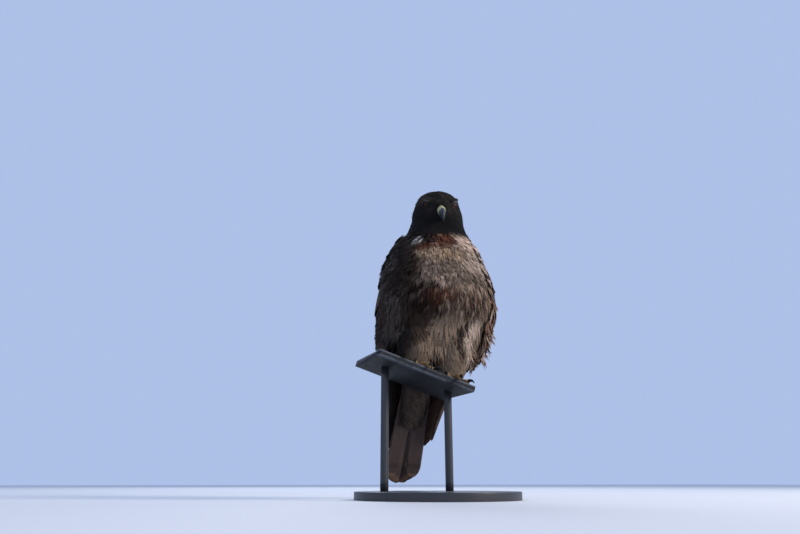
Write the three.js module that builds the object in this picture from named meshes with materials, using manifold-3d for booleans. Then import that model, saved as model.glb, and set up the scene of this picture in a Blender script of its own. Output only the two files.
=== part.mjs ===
// A red-tailed hawk, life size, perched on a cut length of flat steel bar that two rods hold over a round base.
// Millimetres, +Z up. The origin is the middle of the base's underside, and the hawk faces -Y, with its left at +X.
import * as THREE from "three";
import { mergeVertices } from "three/addons/utils/BufferGeometryUtils.js";
import Module from "manifold-3d";

const wasm = await Module();
wasm.setup();

// Driving dimensions of the hawk. Its heights are measured from a level line just below the top of the perch.
const tailDrop = 123; // the tail's tip lies this far below the line
const toeLine = 24; // the perch's top lies this far above it, under the hawk's middle
const feetApart = 58;
const feetAside = -18; // the middle between the feet lies this far to the hawk's left of its body's middle
const headTwist = -12; // degrees, turned to the hawk's right
const headPitch = 24; // degrees, looking down
const gap = 0.3; // between pieces that touch

// Driving dimensions of the perch and its stand
const perch = { left: 34, right: 123, width: 110, thick: 9.5, ahead: 48, slope: 17, yaw: 2, bevel: 1 };
const base = { radius: 125, thick: 12, bevel: 1.5, setBack: 25 };
const rod = { radius: 6, left: 16, right: -92 };
const tailClearance = 12; // from the tail's tip down to the base
const lineHeight = base.thick + tailClearance + tailDrop;

const radians = THREE.MathUtils.degToRad;
const vector = (x, y, z) => new THREE.Vector3(x, y, z);
const mix = THREE.MathUtils.lerp;

const coats = {
  brown: { color: 0x3a2a20, roughness: 0.85 },
  head: { color: 0x2c201a, roughness: 0.85 },
  breast: { color: 0xa88668, roughness: 0.9 },
  leg: { color: 0xb89a76, roughness: 0.9 },
  tail: { color: 0x8c4a2c, roughness: 0.8 },
  cere: { color: 0xb9b06a, roughness: 0.45 },
  horn: { color: 0x1b1b1e, roughness: 0.3 },
  eye: { color: 0x2a160c, roughness: 0.08 },
  foot: { color: 0xc2a94a, roughness: 0.55 },
  steel: { color: 0x5b6068, roughness: 0.6, metalness: 0.6 },
  stand: { color: 0x2b2c2f, roughness: 0.5 },
};

// A value between list entries at place u, on a smooth curve through them. before and after stand in for the missing
// neighbours of the two ends.
function along(list, u, before, after) {
  const i = Math.min(Math.floor(u), list.length - 2);
  const t = u - i;
  const [a, b, c, d] = [i ? list[i - 1] : before, list[i], list[i + 1], list[i + 2] ?? after];
  const bend = (2 * a - 5 * b + 4 * c - d) * t * t + (3 * b - a - 3 * c + d) * t * t * t;
  return b + ((c - a) * t + bend) / 2;
}

// Level cross-sections, from the crown down to the vent: height, how far back the middle lies, half the width, depth
// before and behind the middle, roundness of the front, where 2 is an ellipse, and twist in degrees
const bodySections = [
  [341, 6, 0, 0, 0, 2, headTwist],
  [338.5, 6, 17.5, 16.5, 19, 1.95, headTwist],
  [333, 6, 28.5, 26.5, 29.5, 1.85, headTwist],
  [324, 6, 34.5, 32.5, 36.5, 1.8, headTwist],
  [313, 6, 37.5, 36, 40, 1.75, headTwist],
  [300, 6.5, 40, 37, 43.5, 1.8, headTwist],
  [286, 8, 43, 36.5, 47, 1.95, headTwist * 0.8],
  [271, 10, 48, 40, 53, 2.1, headTwist * 0.5],
  [254, 12, 57, 49, 59, 2.2, headTwist * 0.2],
  [232, 13, 65, 59, 63, 2.3, 0],
  [205, 14, 74, 69, 66, 2.3, 0],
  [172, 15, 82, 77, 67, 2.3, 0],
  [138, 18, 86, 77, 66, 2.3, 0],
  [108, 24, 81, 65, 60, 2.2, 0],
  [86, 26, 74, 56, 54, 2.1, 0],
  [66, 27, 62, 47, 45, 2, 0],
  [50, 28, 0, 0, 0, 2, 0],
];

// The outer face of the folded wings, down to their tips beside the tail, in the same terms
const wingSections = [
  [268, 10, 58, 42, 60, 2.1, 0],
  [252, 12, 67, 50, 66, 2.2, 0],
  [232, 13, 77, 58, 70, 2.3, 0],
  [205, 14, 87, 66, 74, 2.3, 0],
  [172, 16, 94.5, 70, 76, 2.3, 0],
  [138, 21, 97, 66, 75, 2.3, 0],
  [108, 30, 94, 56, 72, 2.2, 0],
  [78, 44, 87, 44, 66, 2.1, 0],
  [42, 64, 68, 32, 54, 2, 0],
  [0, 84, 51, 22, 44, 2, 0],
  [-40, 102, 42, 14, 34, 2, 0],
  [-80, 118, 36, 10, 28, 2, 0],
  [-115, 130, 31, 8, 24, 2, 0],
];
const backRoundness = 2.2;

// What belongs to the face is measured from the head's middle as if it looked level and straight ahead.
const headMiddle = vector(0, 6, 310);
const headFrame = new THREE.Matrix4()
  .makeTranslation(headMiddle)
  .multiply(new THREE.Matrix4().makeRotationZ(radians(headTwist)))
  .multiply(new THREE.Matrix4().makeRotationX(radians(headPitch)));

// Hollows and swellings of the face: middle, reach each way, and how far the surface rises, or sinks below 0
const headRelief = [
  { at: vector(30, -21, 10), reach: vector(11, 10, 8), rise: -2.6 }, // eye hollow
  { at: vector(15, -33, 4), reach: vector(7, 9, 8), rise: -2.4 }, // lore, between eye and bill
  { at: vector(36, -4, -8), reach: vector(12, 16, 12), rise: 2 }, // cheek
  { at: vector(0, -26, 24), reach: vector(26, 14, 8), rise: -1.6 }, // flat forehead
];

function reliefAt(untwisted) {
  const local = untwisted.clone().sub(headMiddle).applyAxisAngle(vector(1, 0, 0), -radians(headPitch));
  return headRelief.reduce((sum, { at, reach, rise }) => {
    const off = vector(Math.abs(local.x), local.y, local.z).sub(at).divide(reach);
    return sum + rise * Math.exp(-off.lengthSq());
  }, 0);
}

// The end of a form with no width closes like a dome, so its missing neighbour is its mirror image.
function beyond(end, next, field) {
  const closes = end[2] === 0;
  if (closes) return field >= 2 && field <= 4 ? -next[field] : next[field];
  return 2 * end[field] - next[field];
}

function sectionAt(sections, u) {
  const last = sections.length - 1;
  return sections[0].map((_, field) => {
    const column = sections.map((section) => section[field]);
    const before = beyond(sections[0], sections[1], field);
    return along(column, u, before, beyond(sections[last], sections[last - 1], field));
  });
}

// A point of a form of level sections: turn runs from 0 at the front, through the hawk's left, to half a circle behind.
function formPoint(sections, u, turn) {
  const [height, middle, side, front, back, frontRoundness, twist] = sectionAt(sections, u);
  const [c, s] = [Math.cos(turn), Math.sin(turn)];
  const power = 2 / (c > 0 ? frontRoundness : backRoundness);
  const depth = c > 0 ? front : back;
  const flat = vector(
    side * Math.sign(s) * Math.abs(s) ** power,
    -depth * Math.sign(c) * Math.abs(c) ** power,
    0,
  );
  const risen = reliefAt(vector(flat.x, flat.y + middle, height));
  flat.addScaledVector(flat.clone().normalize(), risen);
  flat.applyAxisAngle(vector(0, 0, 1), radians(twist));
  return vector(flat.x, flat.y + middle, height);
}

function surface(points, faces) {
  const geometry = new THREE.BufferGeometry();
  geometry.setAttribute("position", new THREE.Float32BufferAttribute(points.flatMap((p) => p.toArray()), 3));
  geometry.setIndex(faces.flat());
  return geometry;
}

const twoFaces = (a, b, c, d) => [[a, b, c], [a, c, d]];

// Rings of points joined into a tube, with each end closed by a fan to its middle
function ringTube(rings) {
  const around = rings[0].length;
  const middle = (ring) => ring.reduce((sum, p) => sum.add(p), vector(0, 0, 0)).divideScalar(around);
  const points = [...rings.flat(), middle(rings[0]), middle(rings.at(-1))];
  const [first, last] = [points.length - 2, points.length - 1];
  const faces = [];
  for (let j = 0; j < around; j++) {
    const k = (j + 1) % around;
    for (let i = 0; i + 1 < rings.length; i++) {
      const [a, b] = [i * around, (i + 1) * around];
      faces.push(...twoFaces(a + j, b + j, b + k, a + k));
    }
    faces.push([first, j, k], [last, last - 1 - around + k, last - 1 - around + j]);
  }
  return surface(points, faces);
}

// Two like grids of points, one over the other, joined round their rims into a plate
function plate(upper, lower) {
  const [rows, columns] = [upper.length, upper[0].length];
  const points = [...upper.flat(), ...lower.flat()];
  const top = (i, j) => i * columns + j;
  const under = (i, j) => rows * columns + top(i, j);
  const faces = [];
  for (let i = 0; i + 1 < rows; i++) {
    for (let j = 0; j + 1 < columns; j++) {
      faces.push(...twoFaces(top(i, j), top(i + 1, j), top(i + 1, j + 1), top(i, j + 1)));
      const flipped = twoFaces(under(i, j), under(i + 1, j), under(i + 1, j + 1), under(i, j + 1));
      faces.push(...flipped.map((face) => face.reverse()));
    }
  }
  const rim = [
    ...Array.from({ length: columns - 1 }, (_, j) => [0, j]),
    ...Array.from({ length: rows - 1 }, (_, i) => [i, columns - 1]),
    ...Array.from({ length: columns - 1 }, (_, j) => [rows - 1, columns - 1 - j]),
    ...Array.from({ length: rows - 1 }, (_, i) => [rows - 1 - i, 0]),
  ];
  rim.forEach(([i, j], n) => {
    const [k, l] = rim[(n + 1) % rim.length];
    faces.push(...twoFaces(top(i, j), top(k, l), under(k, l), under(i, j)));
  });
  return surface(points, faces);
}

// A geometry with no more than its corners, each shared by the faces that meet there
function welded(geometry) {
  const bare = new THREE.BufferGeometry().setAttribute("position", geometry.attributes.position.clone());
  if (geometry.index) bare.setIndex(geometry.index.clone());
  return mergeVertices(bare, 1e-4);
}

// A closed geometry as a solid, turned the right way out
function solid(geometry) {
  const merged = welded(geometry);
  const corners = merged.attributes.position;
  const triVerts = new Uint32Array(merged.index.array);
  const corner = (i) => vector().fromBufferAttribute(corners, triVerts[i]);
  let volume = 0;
  for (let i = 0; i < triVerts.length; i += 3) volume += corner(i).dot(corner(i + 1).cross(corner(i + 2)));
  if (volume < 0) triVerts.reverse();
  return new wasm.Manifold(new wasm.Mesh({ numProp: 3, vertProperties: corners.array, triVerts }));
}

// The same with each corner moved out by the gap, to cut room for this piece from its neighbours
function grownSolid(geometry) {
  const moved = (by) => {
    const copy = welded(geometry);
    copy.computeVertexNormals();
    const [place, normal] = [copy.attributes.position, copy.attributes.normal];
    for (let i = 0; i < place.count; i++) {
      const p = vector().fromBufferAttribute(place, i);
      p.addScaledVector(vector().fromBufferAttribute(normal, i), by);
      place.setXYZ(i, p.x, p.y, p.z);
    }
    return solid(copy);
  };
  const bigger = moved(gap);
  return bigger.volume() > solid(geometry).volume() ? bigger : moved(-gap);
}

const join = (...solids) => wasm.Manifold.union(solids.flat());
const largest = (pieces) => pieces.decompose().reduce((a, b) => (b.volume() > a.volume() ? b : a));

const hawk = new THREE.Group();
hawk.position.set(0, -base.setBack, lineHeight);
const model = new THREE.Group();
model.add(hawk);

function addMesh(name, made, coat, parent = hawk) {
  const { numProp, numVert, vertProperties, triVerts } = largest(made).getMesh();
  const points = Array.from({ length: numVert }, (_, i) => vector().fromArray(vertProperties, i * numProp));
  const geometry = surface(points, [[...triVerts]]);
  const mesh = new THREE.Mesh(geometry, new THREE.MeshStandardMaterial(coats[coat]));
  mesh.name = name;
  parent.add(mesh);
}

const sides = [["left", 1], ["right", -1]];
const inHead = (geometry) => geometry.clone().applyMatrix4(headFrame);

// Head, neck and torso are one form, parted by two sloping cuts.
function bodyGeometry() {
  const around = 30;
  const headRings = 2;
  const lowerRings = 2;
  const rings = [];
  for (let section = 0; section + 1 < bodySections.length; section++) {
    const count = section > 1 && section < 6 ? headRings : lowerRings;
    for (let k = 0; k < count; k++) rings.push(section + k / count);
  }
  const onePoint = 0.12;
  rings[0] = onePoint;
  rings.push(bodySections.length - 1 - onePoint);
  return ringTube(
    rings.map((u) =>
      Array.from({ length: around }, (_, j) => formPoint(bodySections, u, (j / around) * 2 * Math.PI)),
    ),
  );
}
const bodyForm = bodyGeometry();
const bodyAndGap = grownSolid(bodyForm);

const headCut = { tilt: 12, height: 284 };
const neckCut = { tilt: 14, height: 255 };

function cutPlane({ tilt, height }) {
  const normal = vector(0, -Math.sin(radians(tilt)), Math.cos(radians(tilt)));
  return { normal: normal.toArray(), offset: normal.dot(vector(0, 0, height)) };
}

function above(piece, cut) {
  const { normal, offset } = cutPlane(cut);
  return piece.trimByPlane(normal, offset + gap / 2);
}

function below(piece, cut) {
  const { normal, offset } = cutPlane(cut);
  return piece.trimByPlane(normal.map((n) => -n), -offset + gap / 2);
}

// The eye looks out and forward from under a ridge of brow. Places are measured in the head's own frame.
const eye = { at: vector(20.8, -15.2, 9.5), radius: 8.6, yaw: 56, lidRadius: 6.9, lidThick: 1.1 };
const brow = { over: 8.8, out: 0.9, reach: vector(14.5, 8, 4.2), drop: 12 };

function eyeParts(sign) {
  const axis = vector(sign * Math.sin(radians(eye.yaw)), -Math.cos(radians(eye.yaw)), 0);
  const at = vector(sign * eye.at.x, eye.at.y, eye.at.z);
  const ball = new THREE.SphereGeometry(eye.radius, 12, 8).translate(...at);
  const lidSetBack = Math.sqrt(eye.radius ** 2 - eye.lidRadius ** 2);
  const lid = new THREE.TorusGeometry(eye.lidRadius, eye.lidThick, 5, 12);
  lid.applyQuaternion(new THREE.Quaternion().setFromUnitVectors(vector(0, 0, 1), axis));
  lid.translate(...at.clone().addScaledVector(axis, lidSetBack + eye.lidThick * 0.3));
  const backwards = vector(-axis.y, axis.x, 0).multiplyScalar(sign);
  const ridge = new THREE.SphereGeometry(1, 9, 5).scale(...brow.reach);
  ridge.applyMatrix4(new THREE.Matrix4().makeRotationY(-radians(brow.drop)));
  ridge.applyMatrix4(new THREE.Matrix4().makeBasis(backwards, axis, vector(0, 0, 1)));
  ridge.translate(...at.clone().addScaledVector(axis, brow.out).add(vector(0, 0, brow.over)));
  return { ball: inHead(ball), lid: inHead(lid), ridge: inHead(ridge) };
}

// A tube along a path: each station is a point with its half width and half height.
function taperedTube(stations, { around = 10, steps = 3, level = vector(1, 0, 0) } = {}) {
  const columns = stations[0].map((_, field) => stations.map((station) => station[field]));
  const last = stations.length - 1;
  const at = (u) =>
    columns.map((column) =>
      along(column, u, 2 * column[0] - column[1], 2 * column[last] - column[last - 1]),
    );
  const rings = [];
  for (let k = 0; k <= last * steps; k++) {
    const u = k / steps;
    const [x, y, z, wide, high] = at(u);
    const [ahead, behind] = [at(Math.min(u + 0.05, last)), at(Math.max(u - 0.05, 0))];
    const forward = vector(...ahead).sub(vector(...behind)).normalize();
    const across = level.clone().addScaledVector(forward, -level.dot(forward)).normalize();
    const up = forward.clone().cross(across);
    rings.push(
      Array.from({ length: around }, (_, j) => {
        const turn = (j / around) * 2 * Math.PI;
        const p = vector(x, y, z).addScaledVector(across, Math.cos(turn) * Math.max(wide, 0.2));
        return p.addScaledVector(up, Math.sin(turn) * Math.max(high, 0.2));
      }),
    );
  }
  return ringTube(rings);
}

// The bill in the head's own frame; its stations are x, back, height, half width and half height.
const upperBill = [
  [0, -28, 2.5, 10.4, 9.4],
  [0, -37, 2.3, 9.5, 9.1],
  [0, -44, 1, 7.6, 8.3],
  [0, -50.5, -1.8, 5.6, 6.4],
  [0, -55.3, -6, 3.8, 4.2],
  [0, -58.2, -10.5, 2, 2.2],
  [0, -59, -15, 0.5, 0.5],
];
const lowerBill = [
  [0, -26, -7.6, 7.6, 3.8],
  [0, -36, -8, 6.8, 3.6],
  [0, -44.5, -8.8, 4.8, 3],
  [0, -50, -9.4, 2.3, 1.8],
];
const cereEnd = -45.5;
const nostril = { at: vector(7.6, -40.5, 4.6), reach: vector(2.6, 1.8, 1.6) };
// The corner of the mouth runs from the bill's side back to under the eye, on the face: degrees round and height
const gapeRoot = [6.4, -37, -2.4, 1.6, 1.6];
const gapeRun = [
  [15, 291.5, 1.5, 1.3],
  [23, 292, 1.5, 1.3],
  [31, 293, 1.3, 1.1],
  [38, 294.5, 0.7, 0.6],
];

function gapeTube(sign) {
  const [x, y, z, ...sizes] = gapeRoot;
  const root = vector(x, y, z).applyMatrix4(headFrame);
  const untwisted = new THREE.Matrix4().makeRotationZ(radians(headTwist));
  const mirrored = (p) => {
    const level = p.clone().sub(headMiddle).applyMatrix4(untwisted.clone().invert());
    return level.setX(sign * level.x).applyMatrix4(untwisted).add(headMiddle);
  };
  const run = gapeRun.map(([degrees, height, ...thick]) => {
    const at = formPoint(bodySections, stationAt(bodySections, height), radians(degrees));
    return [...mirrored(at), ...thick];
  });
  return taperedTube([[...mirrored(root), ...sizes], ...run], { around: 6, steps: 1, level: vector(0, 0, 1) });
}

function addHead(whole) {
  const upper = inHead(taperedTube(upperBill, { around: 12, steps: 2 }));
  const lower = inHead(taperedTube(lowerBill, { around: 10, steps: 2 }));
  const gapes = sides.map(([, sign]) => gapeTube(sign));
  const eyes = sides.map(([, sign]) => eyeParts(sign));
  const balls = eyes.map(({ ball }) => grownSolid(ball));
  const billAndGap = join(grownSolid(upper), grownSolid(lower), gapes.map(grownSolid));
  const raised = eyes.flatMap(({ lid, ridge }) => [solid(lid), solid(ridge)]);
  const head = join(above(whole, headCut), raised).subtract(join(balls, billAndGap));
  addMesh("head", head, "head");
  eyes.forEach(({ ball }, i) => addMesh(`eye_${sides[i][0]}`, solid(ball), "eye"));

  const nostrils = sides.map(([, sign]) => {
    const hole = new THREE.SphereGeometry(1, 7, 5).scale(...nostril.reach);
    return solid(inHead(hole.translate(sign * nostril.at.x, nostril.at.y, nostril.at.z)));
  });
  const ahead = vector(0, -1, 0).transformDirection(headFrame);
  const offset = ahead.dot(vector(0, cereEnd, 0).applyMatrix4(headFrame));
  const forward = solid(upper).trimByPlane(ahead.toArray(), offset + gap / 2);
  const behind = solid(upper).trimByPlane(ahead.clone().negate().toArray(), -offset + gap / 2);
  addMesh("cere", join(behind, gapes.map(solid)).subtract(join(nostrils, grownSolid(lower))), "cere");
  addMesh("bill_upper", forward.subtract(grownSolid(lower)), "horn");
  addMesh("bill_lower", solid(lower), "horn");
}

// A station number of a form for a height, found by halving
function stationAt(sections, height) {
  let [low, high] = [0, sections.length - 1];
  for (let n = 0; n < 24; n++) {
    const u = (low + high) / 2;
    if (sectionAt(sections, u)[0] > height) low = u;
    else high = u;
  }
  return low;
}

// A place on the wing's outer face, with the directions round it, down it and out of it
function wingPlace(degrees, height) {
  const small = 0.01;
  const turn = radians(degrees);
  const u = stationAt(wingSections, height);
  const at = formPoint(wingSections, u, turn);
  const round = formPoint(wingSections, u, turn + small).sub(at);
  const perDegree = round.length() / small * radians(1);
  const down = formPoint(wingSections, Math.min(u + small, wingSections.length - 1), turn);
  down.sub(formPoint(wingSections, Math.max(u - small, 0), turn)).normalize();
  const out = down.clone().cross(round).normalize();
  return { at, out, perDegree };
}

// One feather as a thin vane. place gives its middle surface at a share of its length and of its half width.
const longVane = { shares: [0, 0.5, 0.93, 1], widths: [0.7, 1, 0.74, 0.24] };
const shortVane = { shares: [0, 0.5, 0.88, 1], widths: [0.75, 1, 0.8, 0.28] };
const vaneThick = 0.9;

function vane({ shares, widths }, place) {
  const face = (sign) =>
    shares.map((share, i) =>
      [-1, 0, 1].map((side) => {
        const { at, out } = place(share, side * widths[i]);
        const thick = vaneThick * (side ? 0.65 : 1) * (1 - 0.35 * share);
        return at.clone().addScaledVector(out, (sign * thick) / 2);
      }),
    );
  return solid(plate(face(1), face(-1)));
}

// Draws of -1 to 1 that come out the same each time
let seed = 7;
function draw() {
  seed = (seed * 16807) % 2147483647;
  return (seed / 2147483647) * 2 - 1;
}

// Tiers of the folded wing: how many feathers, half their width, where the roots and tips of the first and the last
// lie, in degrees from the breast and in height, and how high root and tip stand over the wing's face
const wingTiers = [
  { form: longVane, count: 6, half: 11.5, roots: [[100, 122], [152, 108]], tips: [[98, -48], [158, -74]], lift: [-6, 0.5] },
  { form: longVane, count: 8, half: 16.5, roots: [[58, 172], [158, 154]], tips: [[50, 96], [170, 14]], lift: [-5, 1.4] },
  { form: shortVane, count: 7, half: 16, roots: [[60, 208], [158, 192]], tips: [[55, 150], [166, 118]], lift: [-4.5, 1.8] },
  { form: shortVane, count: 6, half: 15, roots: [[66, 238], [146, 230]], tips: [[60, 192], [152, 170]], lift: [-4, 1.8] },
  { form: shortVane, count: 4, half: 14, roots: [[138, 238], [173, 230]], tips: [[142, 178], [175, 164]], lift: [-2.6, 3.4] },
  { form: shortVane, count: 4, half: 13.5, roots: [[128, 259], [170, 254]], tips: [[134, 212], [173, 202]], lift: [-2.6, 3] },
];
const shingle = 1.2; // one edge of each feather stands this far over its middle, so that neighbours overlap
const tipDroop = 1.35; // tips lie on a curve that steepens towards the tail
const wander = { height: 2.5, turn: 1, lift: 0.4 };

// The left wing is tucked further back under the breast feathers at its top, and hangs further forward below.
const tuck = { left: { above: 12, below: -14, hug: 4 }, right: { above: 0, below: 0, hug: 0 }, from: 120, to: 225 };

function tuckAt(name, height, behind) {
  const { above, below, hug } = tuck[name];
  const share = THREE.MathUtils.smoothstep(height, tuck.from, tuck.to);
  return { back: mix(below, above, share) * (1 - behind), inwards: hug * share * (1 - behind) ** 2 };
}

// Wing tips and tail hang a little to the hawk's right, evenly more from the tail's root down to its tip.
function swingAt(height) {
  const { root, tip } = tail;
  return (tip.x * Math.max(root.z - height, 0)) / (root.z - tip.z);
}

function wingVane(tier, n, name, sign) {
  const share = n / (tier.count - 1);
  const [root, tip] = [tier.roots, tier.tips].map(([first, last]) => first.map((v, i) => mix(v, last[i], share)));
  tip[1] = mix(tier.tips[0][1], tier.tips[1][1], share ** (1 / tipDroop)) + wander.height * draw();
  tip[0] += wander.turn * draw();
  const rise = wander.lift * draw();
  [root, tip].forEach((end) => (end[0] += tuckAt(name, end[1], share).back));
  return vane(tier.form, (along, side) => {
    const turn = mix(root[0], tip[0], along);
    const height = mix(root[1], tip[1], along);
    const middle = wingPlace(turn, height);
    const { at, out } = wingPlace(turn + (side * tier.half) / middle.perDegree, height);
    const lift = mix(tier.lift[0], tier.lift[1] + rise, along ** 0.8) - tuckAt(name, height, share).inwards;
    at.addScaledVector(out, lift - shingle * side);
    return { at: vector(sign * at.x + swingAt(height), at.y, at.z), out: vector(sign * out.x, out.y, out.z) };
  });
}

// The wing's flesh and small coverts: a shell over the body's side, from its leading edge round to the back
const wingCore = [
  [263, 104, 142],
  [244, 74, 167],
  [220, 59, 174],
  [195, 55, 175],
  [170, 55, 175],
  [145, 62, 173],
  [118, 78, 164],
  [92, 100, 146],
];
const coreColumns = 6;
const coreThick = 11;

function wingShell(name, sign) {
  const face = (outer) =>
    wingCore.map(([height, front, rear], i) =>
      Array.from({ length: coreColumns }, (_, j) => {
        const [down, over] = [i / (wingCore.length - 1), j / (coreColumns - 1)];
        const { back, inwards } = tuckAt(name, height, over);
        const { at, out } = wingPlace(mix(front + back, rear, over), height);
        const edge = Math.min(1, 0.25 + 2.2 * Math.min(over, 1 - over), 0.3 + 5 * down, 0.3 + 2 * (1 - down));
        at.addScaledVector(out, (outer ? -2.2 - 2.5 * (1 - edge) : -2.6 - coreThick * edge) - inwards);
        return vector(sign * at.x, at.y, at.z);
      }),
    );
  return solid(plate(face(true), face(false)));
}

// What lies on one side of the hawk's middle, which leans with the tail below its root
function ownSide(piece, sign) {
  const { root, tip } = tail;
  const lean = vector(root.z - tip.z, 0, tip.x).normalize();
  const upright = piece.trimByPlane([sign, 0, 0], gap);
  const leaning = (from) => from.trimByPlane([sign * lean.x, 0, sign * lean.z], sign * lean.z * root.z + gap);
  return sign > 0 ? join(upright, leaning(piece)) : leaning(upright);
}

function addWing(name, sign, others) {
  const vanes = wingTiers.flatMap((tier) =>
    Array.from({ length: tier.count }, (_, n) => wingVane(tier, n, name, sign)),
  );
  const wing = join(wingShell(name, sign), vanes).subtract(others);
  addMesh(`wing_${name}`, ownSide(wing, sign), "brown");
}

// The tail hangs from the rump. Its feathers are stacked, the middle pair outermost, and its base is wrapped in coverts.
const tail = {
  root: vector(0, 74, 96),
  tip: vector(-18, 150, -tailDrop),
  half: 13,
  pairs: 6,
  rootStep: 1.8,
  tipStep: 3,
  firstAside: 4,
  layer: 0.95,
};
const tailCoverts = [
  [0, 70, 100, 27, 17],
  [-2, 80, 62, 27, 14],
  [-6, 94, 20, 25, 9.5],
  [-9, 107, -18, 19, 4.2],
  [-10.5, 112, -34, 9, 1.2],
];

function tailVane(pair, sign) {
  const middlePair = pair === 0;
  const down = tail.tip.clone().sub(tail.root);
  const out = vector(0, -down.z, down.y).normalize();
  const layer = middlePair ? (sign > 0 ? tail.layer : 0) : -tail.layer * pair;
  const length = 1 - 0.0035 * pair ** 1.6;
  return vane(longVane, (along, side) => {
    const aside = mix(2 + tail.rootStep * pair, tail.firstAside + tail.tipStep * pair, along);
    const across = Math.max(aside + side * tail.half, middlePair ? -tail.half : gap);
    const at = tail.root.clone().addScaledVector(down, mix(0.08, length, along));
    at.addScaledVector(out, layer - 0.0022 * across ** 2);
    at.x += sign * across;
    return { at, out };
  });
}

function addTail(others) {
  const vanes = sides.flatMap(([, sign]) => Array.from({ length: tail.pairs }, (_, pair) => tailVane(pair, sign)));
  addMesh("tail", join(solid(taperedTube(tailCoverts, { around: 14, steps: 2 })), vanes).subtract(others), "tail");
}

// Legs: feathered thighs from the hips down to bare shanks. Stations are the share of the way up from the perch to the
// hip, back, half width and half depth; the last lies at the ankle's height over the perch.
const hip = { middle: -9, apart: 35, height: 118 };
const thigh = [
  [1, 6, 20, 22],
  [0.74, -1, 29, 29],
  [0.47, -5, 29.5, 29],
];
const thighsPartAt = -13.5; // across
const thighEnd = { over: 17.5, back: -4, wide: 24, deep: 23 };
const perchTurn = new THREE.Matrix4()
  .makeTranslation(0, 0, toeLine)
  .multiply(new THREE.Matrix4().makeRotationZ(radians(perch.yaw)))
  .multiply(new THREE.Matrix4().makeRotationY(radians(perch.slope)));

// Toes of the left foot: degrees out from straight ahead, length, half thickness at root and end, and the claw's
// length and its slant where it leaves the toe and where it ends
const toes = [
  { name: "inner", out: -32, length: 35, root: 5.2, end: 4.3, claw: 24, from: 36, to: -47 },
  { name: "middle", out: -4, length: 50, root: 5, end: 3.9, claw: 21, from: 12, to: -84 },
  { name: "outer", out: 23, length: 40, root: 4.6, end: 3.6, claw: 18, from: 36, to: -50 },
  { name: "rear", out: 172, length: 27, root: 5.4, end: 4.5, claw: 25, from: 38, to: -48 },
];
const pad = { reach: vector(9.5, 11.5, 7.4), high: 8 };

function footFrame(sign) {
  const yaw = radians(perch.yaw);
  const aside = ((sign * feetApart) / 2 + feetAside) / Math.cos(yaw);
  return perchTurn
    .clone()
    .multiply(new THREE.Matrix4().makeTranslation(aside, -aside * Math.sin(yaw), 0))
    .multiply(new THREE.Matrix4().makeRotationZ(-yaw));
}

function toePaths(sign) {
  return toes.map((toe) => {
    const heading = radians(toe.out) * sign;
    const ahead = vector(Math.sin(heading), -Math.cos(heading), 0);
    const low = toe.end + gap + 0.3;
    const heights = [pad.high, pad.high - 0.6, mix(pad.high, low, 0.6), low];
    const stations = heights.map((z, i) => {
      const share = i / (heights.length - 1);
      const thick = mix(toe.root, toe.end, share);
      const p = ahead.clone().multiplyScalar(toe.length * share);
      return [p.x, p.y, z, thick, Math.min(thick, z - gap)];
    });
    const bend = radians(toe.from - toe.to);
    const radius = toe.claw / bend;
    const start = ahead.clone().multiplyScalar(toe.length - 3).setZ(low + 0.6);
    const claw = Array.from({ length: 6 }, (_, i) => {
      const slant = radians(toe.from) - (bend * i) / 5;
      const run = radius * (Math.sin(radians(toe.from)) - Math.sin(slant));
      const rise = radius * (Math.cos(slant) - Math.cos(radians(toe.from)));
      const p = start.clone().addScaledVector(ahead, run).setZ(start.z + rise);
      const share = 1 - (i / 5) ** 1.3;
      return [p.x, p.y, p.z, 0.35 + 2.1 * share, 0.4 + 2.7 * share];
    });
    const level = vector(Math.cos(heading), Math.sin(heading), 0);
    return { name: toe.name, stations, claw, level };
  });
}

function addLeg(name, sign) {
  const place = footFrame(sign);
  const paths = toePaths(sign);
  const padBall = new THREE.SphereGeometry(1, 10, 7).scale(...pad.reach.toArray()).translate(0, 0, pad.high);
  const pieces = [padBall, ...paths.map(({ stations, level }) => taperedTube(stations, { around: 8, steps: 2, level }))];
  const placed = pieces.map((piece) => piece.clone().applyMatrix4(place));
  const foot = join(placed.map(solid));
  const footAndGap = join(placed.map(grownSolid));
  addMesh(`foot_${name}`, foot, "foot");
  paths.forEach(({ name: toe, claw, level }) => {
    const geometry = taperedTube(claw, { around: 6, steps: 1, level }).applyMatrix4(place);
    addMesh(`claw_${name}_${toe}`, solid(geometry).subtract(footAndGap), "horn");
  });
  const sole = vector(0, 0, 0).applyMatrix4(place);
  const stations = thigh.map(([share, back, wide, deep]) => [
    mix(sole.x, hip.middle + sign * hip.apart, share),
    back,
    mix(sole.z, hip.height, share),
    wide,
    deep,
  ]);
  stations.push([sole.x, thighEnd.back, sole.z + thighEnd.over, thighEnd.wide, thighEnd.deep]);
  const thighGeometry = taperedTube(stations, { around: 20, steps: 2 });
  const ankle = vector(0, 0, pad.high).applyMatrix4(place);
  const [endX, endY, endZ] = stations.at(-1);
  const shank = taperedTube(
    [
      [endX, endY + 1, endZ + 8, 5.4, 6.4],
      [mix(endX, ankle.x, 0.5), mix(endY, ankle.y, 0.5), mix(endZ, ankle.z, 0.5), 5.3, 6.3],
      [ankle.x, ankle.y, ankle.z, 6, 7],
    ],
    { around: 10, steps: 2 },
  );
  const ownThigh = solid(thighGeometry).trimByPlane([sign, 0, 0], sign * thighsPartAt + gap);
  const thighSolid = ownThigh.subtract(bodyAndGap);
  addMesh(`thigh_${name}`, thighSolid, "leg");
  addMesh(`shank_${name}`, solid(shank).subtract(join(footAndGap, grownSolid(thighGeometry))), "foot");
  return grownSolid(thighGeometry);
}

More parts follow.
